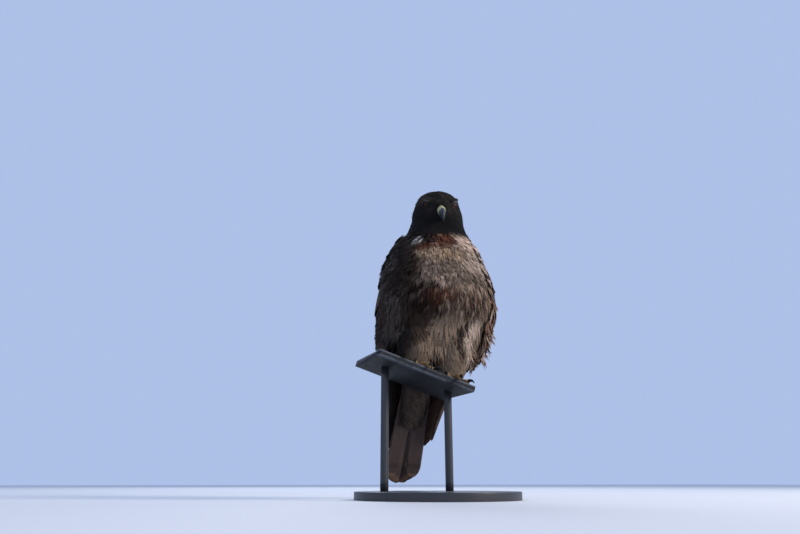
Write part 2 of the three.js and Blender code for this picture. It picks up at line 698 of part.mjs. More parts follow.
// The perch: a flat bar with bevelled edges, its top face level with the group's own middle
function addPerch() {
  const holder = new THREE.Group();
  holder.applyMatrix4(perchTurn);
  hawk.add(holder);
  const { left, right, width, thick, ahead, bevel } = perch;
  const outline = new THREE.Shape();
  outline.moveTo(-ahead, -thick + bevel);
  outline.lineTo(-ahead + bevel, -thick);
  outline.lineTo(width - ahead - bevel, -thick);
  outline.lineTo(width - ahead, -thick + bevel);
  outline.lineTo(width - ahead, -bevel);
  outline.lineTo(width - ahead - bevel, 0);
  outline.lineTo(-ahead + bevel, 0);
  outline.lineTo(-ahead, -bevel);
  const bar = new THREE.ExtrudeGeometry(outline, { depth: left + right, bevelEnabled: false });
  bar.applyMatrix4(new THREE.Matrix4().makeBasis(vector(0, 1, 0), vector(0, 0, 1), vector(1, 0, 0)));
  bar.translate(-right, 0, 0);
  addMesh("perch_bar", solid(bar), "steel", holder);
}

function addStand() {
  const { radius, thick, bevel } = base;
  const profile = [
    [0, 0],
    [radius - bevel / 2, 0],
    [radius, bevel / 2],
    [radius, thick - bevel],
    [radius - bevel, thick],
    [0, thick],
  ].map(([x, y]) => new THREE.Vector2(x, y));
  const disc = new THREE.LatheGeometry(profile, 48).rotateX(Math.PI / 2);
  addMesh("stand_base", solid(disc), "stand", model);
  const out = vector(0, 0, 1).transformDirection(perchTurn);
  const middle = perch.width / 2 - perch.ahead;
  sides.forEach(([name]) => {
    const foot = vector(rod[name], middle, -perch.thick).applyMatrix4(perchTurn);
    const bottom = base.thick + gap - lineHeight;
    const height = foot.z - bottom + 2 * rod.radius;
    const shaft = new THREE.CylinderGeometry(rod.radius, rod.radius, height, 20).rotateX(Math.PI / 2);
    shaft.translate(foot.x, foot.y, bottom + height / 2);
    const top = out.dot(foot) - gap;
    addMesh(`stand_rod_${name}`, solid(shaft).trimByPlane(out.clone().negate().toArray(), -top), "stand");
  });
}

const whole = solid(bodyForm);
addHead(whole);
addMesh("neck", above(below(whole, headCut), neckCut), "head");
const legs = sides.map(([name, sign]) => addLeg(name, sign));
addMesh("torso", below(whole, neckCut), "breast");
addTail(bodyAndGap);
const beside = join(bodyAndGap, legs);
sides.forEach(([name, sign]) => addWing(name, sign, beside));
addPerch();
addStand();

export default model;
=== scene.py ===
# A red-tailed hawk, life size, perched on a cut length of flat steel bar over a plain display stand.
# New pieces are worked out in the hawk's own millimetres, measured from a level line 24 mm below the perch's
# top, and go to metres in the frame when their mesh is made. The hawk faces -Y and its left side is at +X.
import math

import bpy
import numpy as np
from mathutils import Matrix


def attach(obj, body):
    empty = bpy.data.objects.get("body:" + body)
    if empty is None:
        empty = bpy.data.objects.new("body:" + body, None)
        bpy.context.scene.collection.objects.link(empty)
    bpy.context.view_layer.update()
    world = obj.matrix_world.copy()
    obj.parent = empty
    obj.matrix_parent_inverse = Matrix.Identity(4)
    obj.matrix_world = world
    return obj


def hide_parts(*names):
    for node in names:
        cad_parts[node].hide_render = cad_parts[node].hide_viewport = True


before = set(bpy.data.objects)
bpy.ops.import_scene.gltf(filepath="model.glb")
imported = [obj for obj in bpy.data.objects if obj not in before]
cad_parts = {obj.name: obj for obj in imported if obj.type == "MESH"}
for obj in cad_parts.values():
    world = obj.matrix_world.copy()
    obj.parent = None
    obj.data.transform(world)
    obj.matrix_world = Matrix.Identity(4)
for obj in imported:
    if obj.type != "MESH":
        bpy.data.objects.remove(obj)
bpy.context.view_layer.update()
print("frame loaded")

tau = 2 * np.pi
hawkOrigin = np.array([0, -25, 147])  # the hawk's level line in the frame, in millimetres
headTwist = -12  # degrees, turned to the hawk's right
headPitch = 24  # degrees, looking down
headMiddle = np.array([0, 6, 310])
backRoundness = 2.2

# Level cross-sections from the crown down: height, how far back the middle lies, half the width, depth before
# and behind the middle, roundness of the front, where 2 is an ellipse, and twist in degrees
bodySections = np.array([
    [341, 6, 0, 0, 0, 2, headTwist],
    [338.5, 6, 17.5, 16.5, 19, 1.95, headTwist],
    [333, 6, 28.5, 26.5, 29.5, 1.85, headTwist],
    [324, 6, 34.5, 32.5, 36.5, 1.8, headTwist],
    [313, 6, 37.5, 36, 40, 1.75, headTwist],
    [300, 6.5, 40, 37, 43.5, 1.8, headTwist],
    [286, 8, 43, 36.5, 47, 1.95, headTwist * 0.8],
    [271, 10, 48, 40, 53, 2.1, headTwist * 0.5],
    [254, 12, 57, 49, 59, 2.2, headTwist * 0.2],
    [232, 13, 65, 59, 63, 2.3, 0],
    [205, 14, 74, 69, 66, 2.3, 0],
    [172, 15, 82, 77, 67, 2.3, 0],
    [138, 18, 86, 77, 66, 2.3, 0],
    [108, 24, 81, 65, 60, 2.2, 0],
    [86, 26, 74, 56, 54, 2.1, 0],
    [66, 27, 62, 47, 45, 2, 0],
    [50, 28, 0, 0, 0, 2, 0],
])
wingSections = np.array([
    [268, 10, 58, 42, 60, 2.1, 0],
    [252, 12, 67, 50, 66, 2.2, 0],
    [232, 13, 77, 58, 70, 2.3, 0],
    [205, 14, 87, 66, 74, 2.3, 0],
    [172, 16, 94.5, 70, 76, 2.3, 0],
    [138, 21, 97, 66, 75, 2.3, 0],
    [108, 30, 94, 56, 72, 2.2, 0],
    [78, 44, 87, 44, 66, 2.1, 0],
    [42, 64, 68, 32, 54, 2, 0],
    [0, 84, 51, 22, 44, 2, 0],
    [-40, 102, 42, 14, 34, 2, 0],
    [-80, 118, 36, 10, 28, 2, 0],
    [-115, 130, 31, 8, 24, 2, 0],
])

# Hollows and swellings of the face, measured from the head's middle as if it looked level and straight ahead:
# middle, reach each way, and how far the surface rises
headRelief = [
    ((30, -21, 10), (11, 10, 8), -2.6),  # eye hollow
    ((15, -33, 4), (7, 9, 8), -2.4),  # lore, between eye and bill
    ((36, -4, -8), (12, 16, 12), 2),  # cheek
    ((0, -26, 24), (26, 14, 8), -1.6),  # flat forehead
    ((27, -20, 18.5), (9, 11, 4), 1.4),  # brow
]


# Steps evenly from 0 at low to 1 at high, flat at both ends: t squared times (3 - 2t)
def smooth(low, high, value):
    t = np.clip((value - low) / (high - low), 0, 1)
    return t * t * (3 - 2 * t)


# a for a share of 0, b for 1, and straight on between them
def mix(a, b, share):
    return a + (b - a) * share


# Each vector over its own length
def unit(vectors):
    return vectors / np.maximum(np.linalg.norm(vectors, axis=-1, keepdims=True), 1e-9)


def dot(a, b):
    return (a * b).sum(-1)


# The matrix that turns a column vector about an axis by the right-hand rule
def turning(axis, degrees):
    c, s = math.cos(math.radians(degrees)), math.sin(math.radians(degrees))
    rows = {
        "x": [[1, 0, 0], [0, c, -s], [0, s, c]],
        "y": [[c, 0, s], [0, 1, 0], [-s, 0, c]],
        "z": [[c, -s, 0], [s, c, 0], [0, 0, 1]],
    }
    return np.array(rows[axis])


headTurn = turning("z", headTwist) @ turning("x", headPitch)


# From the head's own frame to the hawk's, and back
def fromHead(points):
    return np.asarray(points, float) @ headTurn.T + headMiddle


def toHead(points):
    return (points - headMiddle) @ headTurn


# In the head's frame, with its right side folded onto its left
def toHalfHead(points):
    local = toHead(points)
    local[..., 0] = np.abs(local[..., 0])
    return local


# A left-hand piece on the side of the given sign: mirrored, with its faces turned about, for the right
def onSide(sign, points, *faces):
    if sign > 0:
        return points, *faces
    return points * np.array([-1, 1, 1]), *(corners[:, ::-1] for corners in faces)


# The cubic between list entries b and c at share t, with a before and d after them:
# b + ((c - a) t + (2a - 5b + 4c - d) t^2 + (3b - a - 3c + d) t^3) / 2
def along(rows, u, before, after):
    padded = np.vstack([before, rows, after])
    i = np.clip(np.floor(u).astype(int), 0, len(rows) - 2)
    t = (u - i)[..., None]
    a, b, c, d = (padded[i + k] for k in range(4))
    return b + ((c - a) * t + (2 * a - 5 * b + 4 * c - d) * t**2 + (3 * b - a - 3 * c + d) * t**3) / 2


# An end with no width closes like a dome, so its missing neighbour is its mirror image.
def beyond(end, neighbour):
    mirrored = np.array(neighbour)
    mirrored[2:5] *= -1
    return mirrored if end[2] == 0 else 2 * end - neighbour


# The section at station u, by the cubic through the listed ones
def sectionAt(sections, u):
    return along(sections, u, beyond(sections[0], sections[1]), beyond(sections[-1], sections[-2]))


# e to minus the squared distance in reaches
def hump(points, at, reach):
    return np.exp(-(((points - np.array(at)) / np.array(reach)) ** 2).sum(-1))


# How far the face rises: for each hollow or swelling, its rise times its hump, the same on both sides
def reliefAt(x, y, z):
    points = np.stack([x, y, z], -1) - headMiddle
    local = points @ turning("x", headPitch)
    local[..., 0] = np.abs(local[..., 0])
    return sum(rise * hump(local, at, reach) for at, reach, rise in headRelief)


# A form of level sections: at turn v from the front, through the hawk's left, the ring is the superellipse
# x = side sin^(2/p), y = -depth cos^(2/p), pushed out by the relief, turned by the twist and moved to its
# middle.
def formPoint(sections, u, v):
    height, middle, side, front, back, roundness, twist = np.moveaxis(sectionAt(sections, u), -1, 0)
    c, s = np.cos(v), np.sin(v)
    power = 2 / np.where(c > 0, roundness, backRoundness)
    x = side * np.sign(s) * np.abs(s) ** power
    y = -np.where(c > 0, front, back) * np.sign(c) * np.abs(c) ** power
    grown = 1 + reliefAt(x, y + middle, height) / np.maximum(np.hypot(x, y), 1)
    x, y = x * grown, y * grown
    t = np.radians(twist)
    return np.stack([x * np.cos(t) - y * np.sin(t), x * np.sin(t) + y * np.cos(t) + middle, height], -1)


# The station whose section has the given height, looked up between 2000 heights
def stationOf(sections, height):
    u = np.linspace(0, len(sections) - 1, 2000)
    return np.interp(-np.asarray(height, float), -sectionAt(sections, u)[:, 0], u)


# A path of stations, each a point with its half width and half height, carried straight on past its ends
def stationAt(stations, u):
    return along(stations, u, 2 * stations[0] - stations[1], 2 * stations[-1] - stations[-2])


# A tube along such a path: the middle, plus the level direction across times width times cos v, less the way
# up times height times sin v
def tubePoint(stations, u, v, level=(1, 0, 0)):
    here = stationAt(stations, u)
    ends = (np.clip(u + step, 0, len(stations) - 1) for step in (0.05, -0.05))
    ahead, behind = (stationAt(stations, end)[..., :3] for end in ends)
    forward = unit(ahead - behind)
    level = np.asarray(level, float)
    across = unit(level - dot(forward, level)[..., None] * forward)
    up = np.cross(forward, across)
    wide, high = np.maximum(here[..., 3:4], 0.2), np.maximum(here[..., 4:5], 0.2)
    return here[..., :3] + across * wide * np.cos(v)[..., None] - up * high * np.sin(v)[..., None]


# Soft noise of about -1 to 1: sines of the place along ten seeded directions, added
def blotches(points, size, seed):
    random = np.random.default_rng(seed)
    waves = unit(random.normal(size=(10, 3))) * random.uniform(0.7, 1.4, (10, 1))
    phase = random.uniform(0, tau, 10)
    return np.clip(np.sin(points @ waves.T * tau / size + phase).sum(-1) / 4, -1, 1)


# Wires and paints

# A socket, whose sums, products and so on each add a Math node
class Wire:
    def __init__(self, paint, socket):
        self.paint = paint
        self.socket = socket

    def __add__(self, other):
        return self.paint.maths("ADD", self, other)

    def __sub__(self, other):
        return self.paint.maths("SUBTRACT", self, other)

    def __rsub__(self, other):
        return self.paint.maths("SUBTRACT", other, self)

    def __mul__(self, other):
        return self.paint.maths("MULTIPLY", self, other)

    __radd__ = __add__
    __rmul__ = __mul__

    def __abs__(self):
        return self.paint.maths("ABSOLUTE", self, 0)


# A material and the one way of adding nodes to it
class Paint:
    def __init__(self, name, **fixed):
        self.material = bpy.data.materials.new(name)
        self.material.use_nodes = True
        self.tree = self.material.node_tree
        self.shader = self.tree.nodes["Principled BSDF"]
        for socket, value in fixed.items():
            self.shader.inputs[socket.replace("_", " ")].default_value = value

    def node(self, kind, settings, sockets, output=0):
        made = self.tree.nodes.new(kind)
        for key, value in settings.items():
            setattr(made, key, value)
        for key, value in sockets.items():
            if isinstance(value, Wire):
                self.tree.links.new(value.socket, made.inputs[key])
            else:
                made.inputs[key].default_value = value
        return Wire(self, made.outputs[output])

    def maths(self, operation, a, b):
        return self.node("ShaderNodeMath", {"operation": operation}, {0: a, 1: b})

    # 0 below low and 1 above high, a smooth step between
    def rise(self, wire, low, high):
        sockets = {0: wire, 1: low, 2: high}
        return self.node("ShaderNodeMapRange", {"interpolation_type": "SMOOTHSTEP"}, sockets)

    def noise(self, scale, detail=3.0):
        sockets = {"Vector": self.place(), "Scale": scale, "Detail": detail}
        return self.node("ShaderNodeTexNoise", {}, sockets, output="Fac")

    def place(self):
        return self.node("ShaderNodeTexCoord", {}, {}, output="Object")

    def value(self, name):
        return self.node("ShaderNodeAttribute", {"attribute_name": name}, {}, output="Fac")

    def colour(self, name):
        return self.node("ShaderNodeAttribute", {"attribute_name": name}, {}, output="Color")

    # The share s across a vane, 0 at its shaft and 1 at its edges, and t down it
    def vane(self):
        uv = self.node("ShaderNodeUVMap", {"uv_map": "vane"}, {})
        across = self.node("ShaderNodeSeparateXYZ", {}, {0: uv}, output="X")
        down = self.node("ShaderNodeSeparateXYZ", {}, {0: uv}, output="Y")
        return abs(across * 2 - 1), down

    # Colour a, with the share of colour b over it
    def blend(self, share, a, b):
        colours = [value if isinstance(value, Wire) else (*value, 1) for value in (a, b)]
        sockets = {0: share, 6: colours[0], 7: colours[1]}  # a Mix node's colours are its sockets 6 and 7
        return self.node("ShaderNodeMix", {"data_type": "RGBA"}, sockets, output=2)

    # A colour made darker or lighter by a number
    def shade(self, colour, amount):
        return self.node("ShaderNodeVectorMath", {"operation": "SCALE"}, {0: colour, "Scale": amount})

    def bump(self, height, strength, distance):
        sockets = {"Height": height, "Strength": strength, "Distance": distance}
        return self.node("ShaderNodeBump", {}, sockets)

    def finish(self, **wires):
        for socket, wire in wires.items():
            self.tree.links.new(wire.socket, self.shader.inputs[socket.replace("_", " ")])
        return self.material


# Meshes

# Faces of a grid of rows and columns of points, looped round when closed
def gridFaces(rows, columns, closed=False):
    i, j = np.meshgrid(np.arange(rows - 1), np.arange(columns if closed else columns - 1), indexing="ij")
    k = (j + 1) % columns
    corners = [i * columns + j, (i + 1) * columns + j, (i + 1) * columns + k, i * columns + k]
    return np.stack(corners, -1).reshape(-1, 4)


# Rings of points with both ends closed by a fan to their middle
def closedTube(grid):
    rows, columns = grid.shape[:2]
    points = np.vstack([grid.reshape(-1, 3), grid[0].mean(0), grid[-1].mean(0)])
    j = np.arange(columns)
    k = (j + 1) % columns
    first, last = rows * columns, rows * columns + 1
    low = (rows - 1) * columns
    fans = np.vstack([
        np.stack([np.full(columns, first), j, k], -1),
        np.stack([np.full(columns, last), low + k, low + j], -1),
    ])
    return points, gridFaces(rows, columns, True), fans


# A surface's points at even steps of u between two ends and of v once round
def surfaceGrid(surface, ends, rows, columns):
    u = np.linspace(*ends, rows)
    v = np.linspace(0, tau, columns, endpoint=False)
    return surface(*np.meshgrid(u, v, indexing="ij"))


# A ball's angles from its pole and round it, up to just beside each pole
def ballGrid(rows, columns, beside):
    polar = np.linspace(beside, np.pi - beside, rows)
    return np.meshgrid(polar, np.linspace(0, tau, columns, endpoint=False), indexing="ij")


# Several closed tubes as one list of points, quads and triangles
def gathered(parts):
    points, quads, fans, start = [], [], [], 0
    for part in parts:
        points.append(part[0])
        quads.append(part[1] + start)
        fans.append(part[2] + start)
        start += len(part[0])
    return np.vstack(points), np.vstack(quads), np.vstack(fans)


# Points in the hawk's millimetres and faces go into a mesh in metres
def fillMesh(mesh, points, quads, triangles=np.zeros((0, 3), int)):
    corners = np.concatenate([quads.ravel(), triangles.ravel()]).astype(np.int32)
    starts = np.concatenate([np.arange(len(quads)) * 4, len(quads) * 4 + np.arange(len(triangles)) * 3])
    mesh.vertices.add(len(points))
    mesh.vertices.foreach_set("co", ((points + hawkOrigin) / 1000).astype(np.float32).ravel())
    mesh.loops.add(len(corners))
    mesh.loops.foreach_set("vertex_index", corners)
    mesh.polygons.add(len(starts))
    mesh.polygons.foreach_set("loop_start", starts.astype(np.int32))
    mesh.update(calc_edges=True)
    mesh.validate()
    mesh.shade_smooth()


# A UV map from one place per vertex
def addMap(mesh, name, places):
    corners = np.zeros(len(mesh.loops), np.int32)
    mesh.loops.foreach_get("vertex_index", corners)
    layer = mesh.uv_layers.new(name=name)
    layer.uv.foreach_set("vector", places[corners].astype(np.float32).ravel())


# One number or one colour per vertex for each name
def addValues(mesh, values):
    for name, array in values.items():
        if array.ndim == 1:
            mesh.attributes.new(name, "FLOAT", "POINT").data.foreach_set("value", array.astype(np.float32))
        else:
            shades = np.hstack([array, np.ones((len(array), 1))]).astype(np.float32)
            mesh.attributes.new(name, "FLOAT_COLOR", "POINT").data.foreach_set("color", shades.ravel())


def addPiece(name, mesh, material, replaced=()):
    piece = bpy.data.objects.new(name, mesh)
    bpy.context.scene.collection.objects.link(piece)
    mesh.materials.clear()
    mesh.materials.append(material)
    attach(piece, "root")
    if replaced:
        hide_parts(*replaced)


def solidPiece(name, made, material, replaced=(), values=None):
    mesh = bpy.data.meshes.new(name)
    fillMesh(mesh, *made)
    addValues(mesh, values or {})
    addPiece(name, mesh, material, replaced)


# Feathers

# Where a surface is at (u, v), its outward normal, its slopes and its bends, all by small differences
def framesOn(surface, u, v):
    h, k = 0.02, 0.012
    here = surface(u, v)
    lower, upper = surface(u + h, v), surface(u - h, v)
    later, earlier = surface(u, v + k), surface(u, v - k)
    slopes = (lower - upper) / (2 * h), (later - earlier) / (2 * k)
    corner = surface(u + h, v + k) - surface(u + h, v - k) - surface(u - h, v + k) + surface(u - h, v - k)
    normal = unit(np.cross(*slopes))
    bends = (lower - 2 * here + upper) / h**2, corner / (4 * h * k), (later - 2 * here + earlier) / k**2
    return {"at": here, "normal": normal, "slopes": slopes, "bends": [dot(bend, normal) for bend in bends]}


# How the surface falls away along and across a tangent pair: the second form over the two slopes
def fallAway(frames, lie, across):
    pu, pv = frames["slopes"]
    e, f, g = dot(pu, pu), dot(pu, pv), dot(pv, pv)
    scale = np.maximum(e * g - f * f, 1e-6)
    parts = []
    for way in (lie, across):
        a, b = dot(way, pu), dot(way, pv)
        parts.append(((a * g - b * f) / scale, (b * e - a * f) / scale))
    (a, b), (c, d) = parts
    l, m, n = frames["bends"]
    second = (l * a * a + 2 * m * a * b + n * b * b, l * a * c + m * (a * d + b * c) + n * b * d,
              l * c * c + 2 * m * c * d + n * d * d)
    return [np.clip(k, -0.06, 0.03) for k in second]


# Rows of places down a surface, rowStep apart and step apart in each row, with alternate rows shifted by half
def rowsOn(surface, uRange, vRange, rowStep, step, random):
    u = np.linspace(*uRange, 400)
    v = np.linspace(*vRange, 25)
    down = surface(*np.meshgrid(u, v, indexing="ij"))
    run = np.concatenate([[0], np.linalg.norm(np.diff(down, axis=0), axis=-1).mean(1).cumsum()])
    places = []
    fine = np.linspace(*vRange, 400)
    for row, at in enumerate(np.interp(np.arange(0, run[-1], rowStep), run, u)):
        ring = surface(np.full(400, at), fine)
        arc = np.concatenate([[0], np.linalg.norm(np.diff(ring, axis=0), axis=-1).cumsum()])
        count = max(int(arc[-1] / step), 3)
        share = (np.arange(count) + 0.5 * (row % 2) + random.uniform(-0.25, 0.25, count)) / count
        drift = random.uniform(-0.3, 0.3, count) * rowStep / run[-1] * (uRange[1] - uRange[0])
        places.append(np.stack([at + drift, np.interp(share * arc[-1], arc, fine)], -1))
    places = np.vstack(places)
    return np.clip(places[:, 0], *uRange), places[:, 1]


# One vane as a grid of (t down, s across), its last row frayed into points, with its faces
def vaneForm(rows, columns, frayFrom):
    t, s = np.meshgrid(np.linspace(0, frayFrom, rows), np.linspace(-1, 1, columns), indexing="ij")
    middles = (s[-1, 1:] + s[-1, :-1]) / 2
    low = (rows - 1) * columns + np.arange(columns - 1)
    tips = rows * columns + np.arange(columns - 1)
    return {
        "t": np.concatenate([t.ravel(), np.ones(columns - 1)]),
        "s": np.concatenate([s.ravel(), middles]),
        "quads": gridFaces(rows, columns),
        "tips": np.stack([low, tips, low + 1], -1),
        "frayed": np.arange(rows * columns + columns - 1) >= rows * columns,
    }


# Small feathers on a surface, whole arrays at once. Each is its root plus x along its lie, y across and h
# out, where x = length (t - round s^2 t^2), y = half s width(t), and h = the surface's fall (a x^2 + 2b xy +
# c y^2) / 2, less the sink at the root, rising to the lift at the tip, less the camber of its edges and with
# a little roll.
def growFeathers(frames, lie, size, form, random):
    normal = frames["normal"]
    count = len(normal)
    lie = unit(lie - dot(lie, normal)[:, None] * normal)
    across = np.cross(normal, lie)
    sway = random.normal(0, size["sway"], count)[:, None]
    lie = unit(lie + across * sway)
    across = np.cross(normal, lie)
    a, b, c = (k[:, None] for k in fallAway(frames, lie, across))
    t, s = form["t"][None], form["s"][None]
    length, half, lift, sink = (np.reshape(size[key], (-1, 1)) for key in ("length", "half", "lift", "sink"))
    ragged = np.where(form["frayed"], random.uniform(-0.16, 0.08, (count, len(form["t"]))), 0)
    width = np.interp(form["t"], [0, 0.45, 0.8, 1], size["widths"])[None]
    x = length * (t - size["round"] * s**2 * t**2 + ragged * size["ragged"])
    y = half * s * width
    roll = random.normal(0, size["roll"], count)[:, None]
    stray = 1 + size.get("stray", 1.5) * (random.uniform(0, 1, (count, 1)) > 0.94)
    lift = lift * random.uniform(0.4, 1.5, count)[:, None] * stray
    h = (a * x * x + 2 * b * x * y + c * y * y) / 2
    h = h - sink * (1 - t) ** 1.4 + lift * t**1.5 - size["camber"] * half * s**2 + roll * s * half
    moved = x[..., None] * lie[:, None] + y[..., None] * across[:, None] + h[..., None] * normal[:, None]
    return frames["at"][:, None] + moved


# Many vanes as one mesh, with a map of each vane, a small patch of the skin's unwrap at each root for the
# baked colours, and the values that its marks need
def coatPiece(name, grown, form, roots, marks, material, mirrored=False):
    count, size = grown.shape[:2]
    points = grown.reshape(-1, 3) * (np.array([-1, 1, 1]) if mirrored else 1)
    start = (np.arange(count) * size)[:, None, None]
    quads = (form["quads"][None] + start).reshape(-1, 4)
    tips = (form["tips"][None] + start).reshape(-1, 3)
    if mirrored:
        quads, tips = quads[:, ::-1], tips[:, ::-1]
    mesh = bpy.data.meshes.new(name)
    fillMesh(mesh, points, quads, tips)
    local = np.stack([form["s"] / 2 + 0.5, form["t"]], -1)
    addMap(mesh, "vane", np.tile(local, (count, 1)))
    patch = roots[:, None] * 0.99 + 0.003 * local[None] + 0.002
    addMap(mesh, "OFBake", patch.reshape(-1, 2))
    addValues(mesh, {key: np.repeat(value, size, axis=0) for key, value in marks.items()})
    triangles = count * (2 * len(form["quads"]) + len(form["tips"]))
    print(f"{name}: {count} feathers, {triangles} triangles")
    addPiece(name, mesh, material)


# Eye, brow and bill, in the head's own frame
eye = {"at": np.array([20.8, -15.2, 9.5]), "radius": 8.6, "yaw": 56}
eyeAxis = np.array([math.sin(math.radians(eye["yaw"])), -math.cos(math.radians(eye["yaw"])), 0])
brow = {"over": 8.8, "out": 0.9, "reach": np.array([14.5, 8, 4.2]), "drop": 12}
browMiddle = eye["at"] + eyeAxis * brow["out"] + np.array([0, 0, brow["over"]])
browBack = np.array([-eyeAxis[1], eyeAxis[0], 0])
billRoot = np.array([0, -40, 2])


# The brow: an ellipsoid over the eye, its long axis beside the lid and dropping towards the bill
def browPoint(sign, inset=0):
    basis = np.stack([browBack, eyeAxis, [0, 0, 1]], -1) @ turning("y", -brow["drop"])

    def point(u, v):
        v = sign * v
        ball = np.stack([-np.cos(u), np.sin(u) * np.cos(v), np.sin(u) * np.sin(v)], -1)
        local = (ball * (brow["reach"] - inset)) @ basis.T + browMiddle
        return fromHead(local * np.array([sign, 1, 1]))

    return point


# Markings of skin and coat alike. Colours are linear.
shades = {
    "hood": (0.0110, 0.0090, 0.0082),
    "crownStreak": (0.060, 0.047, 0.039),
    "throat": (0.004, 0.0035, 0.0035),
    "face": (0.024, 0.021, 0.018),
    # the brow's pale edge, with a painted highlight along it
    "paleBrowAndHighlight": (0.17, 0.16, 0.135),
    "rufous": (0.100, 0.035, 0.018),
    "darkBreast": (0.0165, 0.0085, 0.0055),
    "pinkCream": (0.70, 0.53, 0.42),
    "golden": (0.38, 0.26, 0.155),
    "paleChest": (0.50, 0.39, 0.315),
    "breast": (0.245, 0.178, 0.130),
    "belly": (0.200, 0.144, 0.100),
    "band": (0.0125, 0.0065, 0.0045),
    "flank": (0.054, 0.043, 0.036),
    "flankPale": (0.086, 0.069, 0.058),
    "covert": (0.20, 0.120, 0.085),
    # painted shadow, for places where shade falls
    "shadow": (0.011, 0.0085, 0.007),
    "white": (0.56, 0.50, 0.44),
    "back": (0.032, 0.0205, 0.0150),
    "streak": (0.016, 0.008, 0.0055),
    "paleEdge": (0.32, 0.22, 0.145),
    "wing": (0.0180, 0.0125, 0.0098),
    "wingWarm": (0.085, 0.036, 0.021),
    "mantle": (0.058, 0.031, 0.021),
    "wingBar": (0.008, 0.006, 0.005),
    "tailTop": (0.23, 0.072, 0.028),
    # dull brown, darkened in part as painted shade under the body and perch
    "tailUnder": (0.050, 0.032, 0.028),
    "tailBand": (0.016, 0.010, 0.008),
    "tailEnd": (0.15, 0.085, 0.055),
    # the vent's dull buff, darkened in part as painted shade
    "vent": (0.060, 0.044, 0.036),
}
shades = {name: np.array(shade) for name, shade in shades.items()}

# Patches of the front, painted in this order: shade, middle and reach, in degrees round from the front and in
# height, and strength. The "shadow" patches are painted shadow, and the dark patch low on the right breast is
# partly painted shade.
frontPatches = [
    ("paleChest", (48, 208), (36, 24), 0.85),
    ("darkBreast", (-30, 257), (40, 8), 1.0),
    ("darkBreast", (-38, 242), (32, 10), 1.0),
    ("rufous", (-7, 240), (17, 14), 1.0),
    ("rufous", (-31, 228), (22, 6), 1.0),
    ("pinkCream", (38, 243), (28, 16), 1.0),
    ("golden", (-22, 216), (44, 10), 1.0),
    ("rufous", (-46, 198), (14, 16), 0.4),
    # the hawk's dark feathers low on its right breast, darkened further as painted shade on its unlit side
    ("darkBreast", (-60, 192), (22, 29), 0.85),
    ("darkBreast", (-14, 190), (24, 10), 0.4),
    ("flank", (24, 176), (26, 11), 0.4),
    ("band", (-34, 146), (28, 25), 1.0),
    ("rufous", (-12, 150), (20, 11), 0.75),
    ("rufous", (24, 140), (24, 20), 0.3),
    ("flank", (-75, 132), (24, 34), 0.95),
    # painted shadow: low between the body and the right wing, then in the furrow between the legs
    ("shadow", (-80, 90), (24, 27), 1.0),
    ("shadow", (22, 84), (6, 34), 0.9),
    ("paleChest", (39, 84), (9, 34), 0.6),
    ("white", (-53, 240), (5, 4.2), 1.0),
]


# A tint moved towards a named shade by a share
def paintOver(tint, shade, share):
    return tint + (shades[shade] - tint) * np.asarray(share)[..., None]


# e to minus the squared distance in reaches, by turn and height
def spot(turn, high, at, reach):
    return np.exp(-(((turn - at[0]) / reach[0]) ** 2) - ((high - at[1]) / reach[1]) ** 2)


markMiddle = 14  # how far back lies the axis that the markings go round
bellyLine = {"turn": 5, "height": 122, "slope": 0.95, "soft": 9}  # the belly's slanting edge
bandSpot = ((-5, 148), (52, 26))


# Degrees round from the front, with the hawk's left positive
def bearingOf(points):
    return np.degrees(np.arctan2(points[:, 0], -(points[:, 1] - markMiddle)))


# The front: a pale belly below the breast, the band's dark beside it, the patches, and the band's own
# blotches
def frontMarks(turn, high, soft, fine):
    tint = np.tile(shades["breast"], (len(turn), 1))
    diagonal = turn + bellyLine["turn"] + bellyLine["slope"] * (bellyLine["height"] - high)
    leftOf = smooth(-bellyLine["soft"], bellyLine["soft"], diagonal)
    belly = (1 - smooth(112, 130, high)) * leftOf
    tint = paintOver(tint, "belly", belly)
    tint = paintOver(tint, "band", 0.9 * (1 - leftOf) * (1 - smooth(122, 142, high)))
    for shade, at, reach, strength in frontPatches:
        share = strength * smooth(0.2, 0.62, spot(turn, high, at, reach) + 0.12 * fine)
        tint = paintOver(tint, shade, share)
    band = spot(turn, high, *bandSpot)
    tint = paintOver(tint, "band", 0.7 * band * smooth(0.1, 0.8, fine + 0.6 * soft))
    tint = paintOver(tint, "breast", 0.5 * band * smooth(0.3, 0.9, -fine - 0.4 * soft))
    return tint, belly, band


# Dark and pale mottling of the breast, stronger on its right
def mottledBreast(tint, points, bearing):
    z = points[:, 2]
    mottled = smooth(150, 170, z) * (1 - smooth(222, 238, z)) * (0.5 + 0.5 * smooth(20, -30, bearing))
    mottle = blotches(points, 15, 14)
    tint = paintOver(tint, "darkBreast", 0.4 * mottled * smooth(0.15, 0.7, mottle))
    pale = 0.35 * mottled * smooth(0.1, 0.7, -mottle) * (1 - smooth(22, 44, -bearing))
    return paintOver(tint, "paleChest", pale)


# How much of a place is the dark hood, whose edge dips at the sides and runs down behind on the right
def hoodAt(z, bearing, fine):
    edge = 259 - 7 * smooth(15, 60, -bearing) + 2 * smooth(20, 60, bearing) + 3.5 * fine
    return np.clip(smooth(-4, 4, z - edge) + smooth(60, 80, -bearing) * smooth(222, 240, z), 0, 1)


# The dull place between eye and bill, and the pale edge of the brow over the eye, its paler skin with a
# painted highlight along the ridge
def faceMarks(tint, points):
    local = toHalfHead(points)
    tint = paintOver(tint, "face", 0.7 * hump(local, (17, -31, 4), (7, 7, 7)))
    overEye = local - browMiddle
    # the brow's pale edge: its paler skin and a painted highlight
    ridge = np.exp(-((dot(overEye, browBack) + 1) / 9) ** 2 - ((overEye[:, 2] + 2.6) / 2.0) ** 2)
    return paintOver(tint, "paleBrowAndHighlight", ridge * smooth(3.0, 5.5, dot(overEye, eyeAxis)))
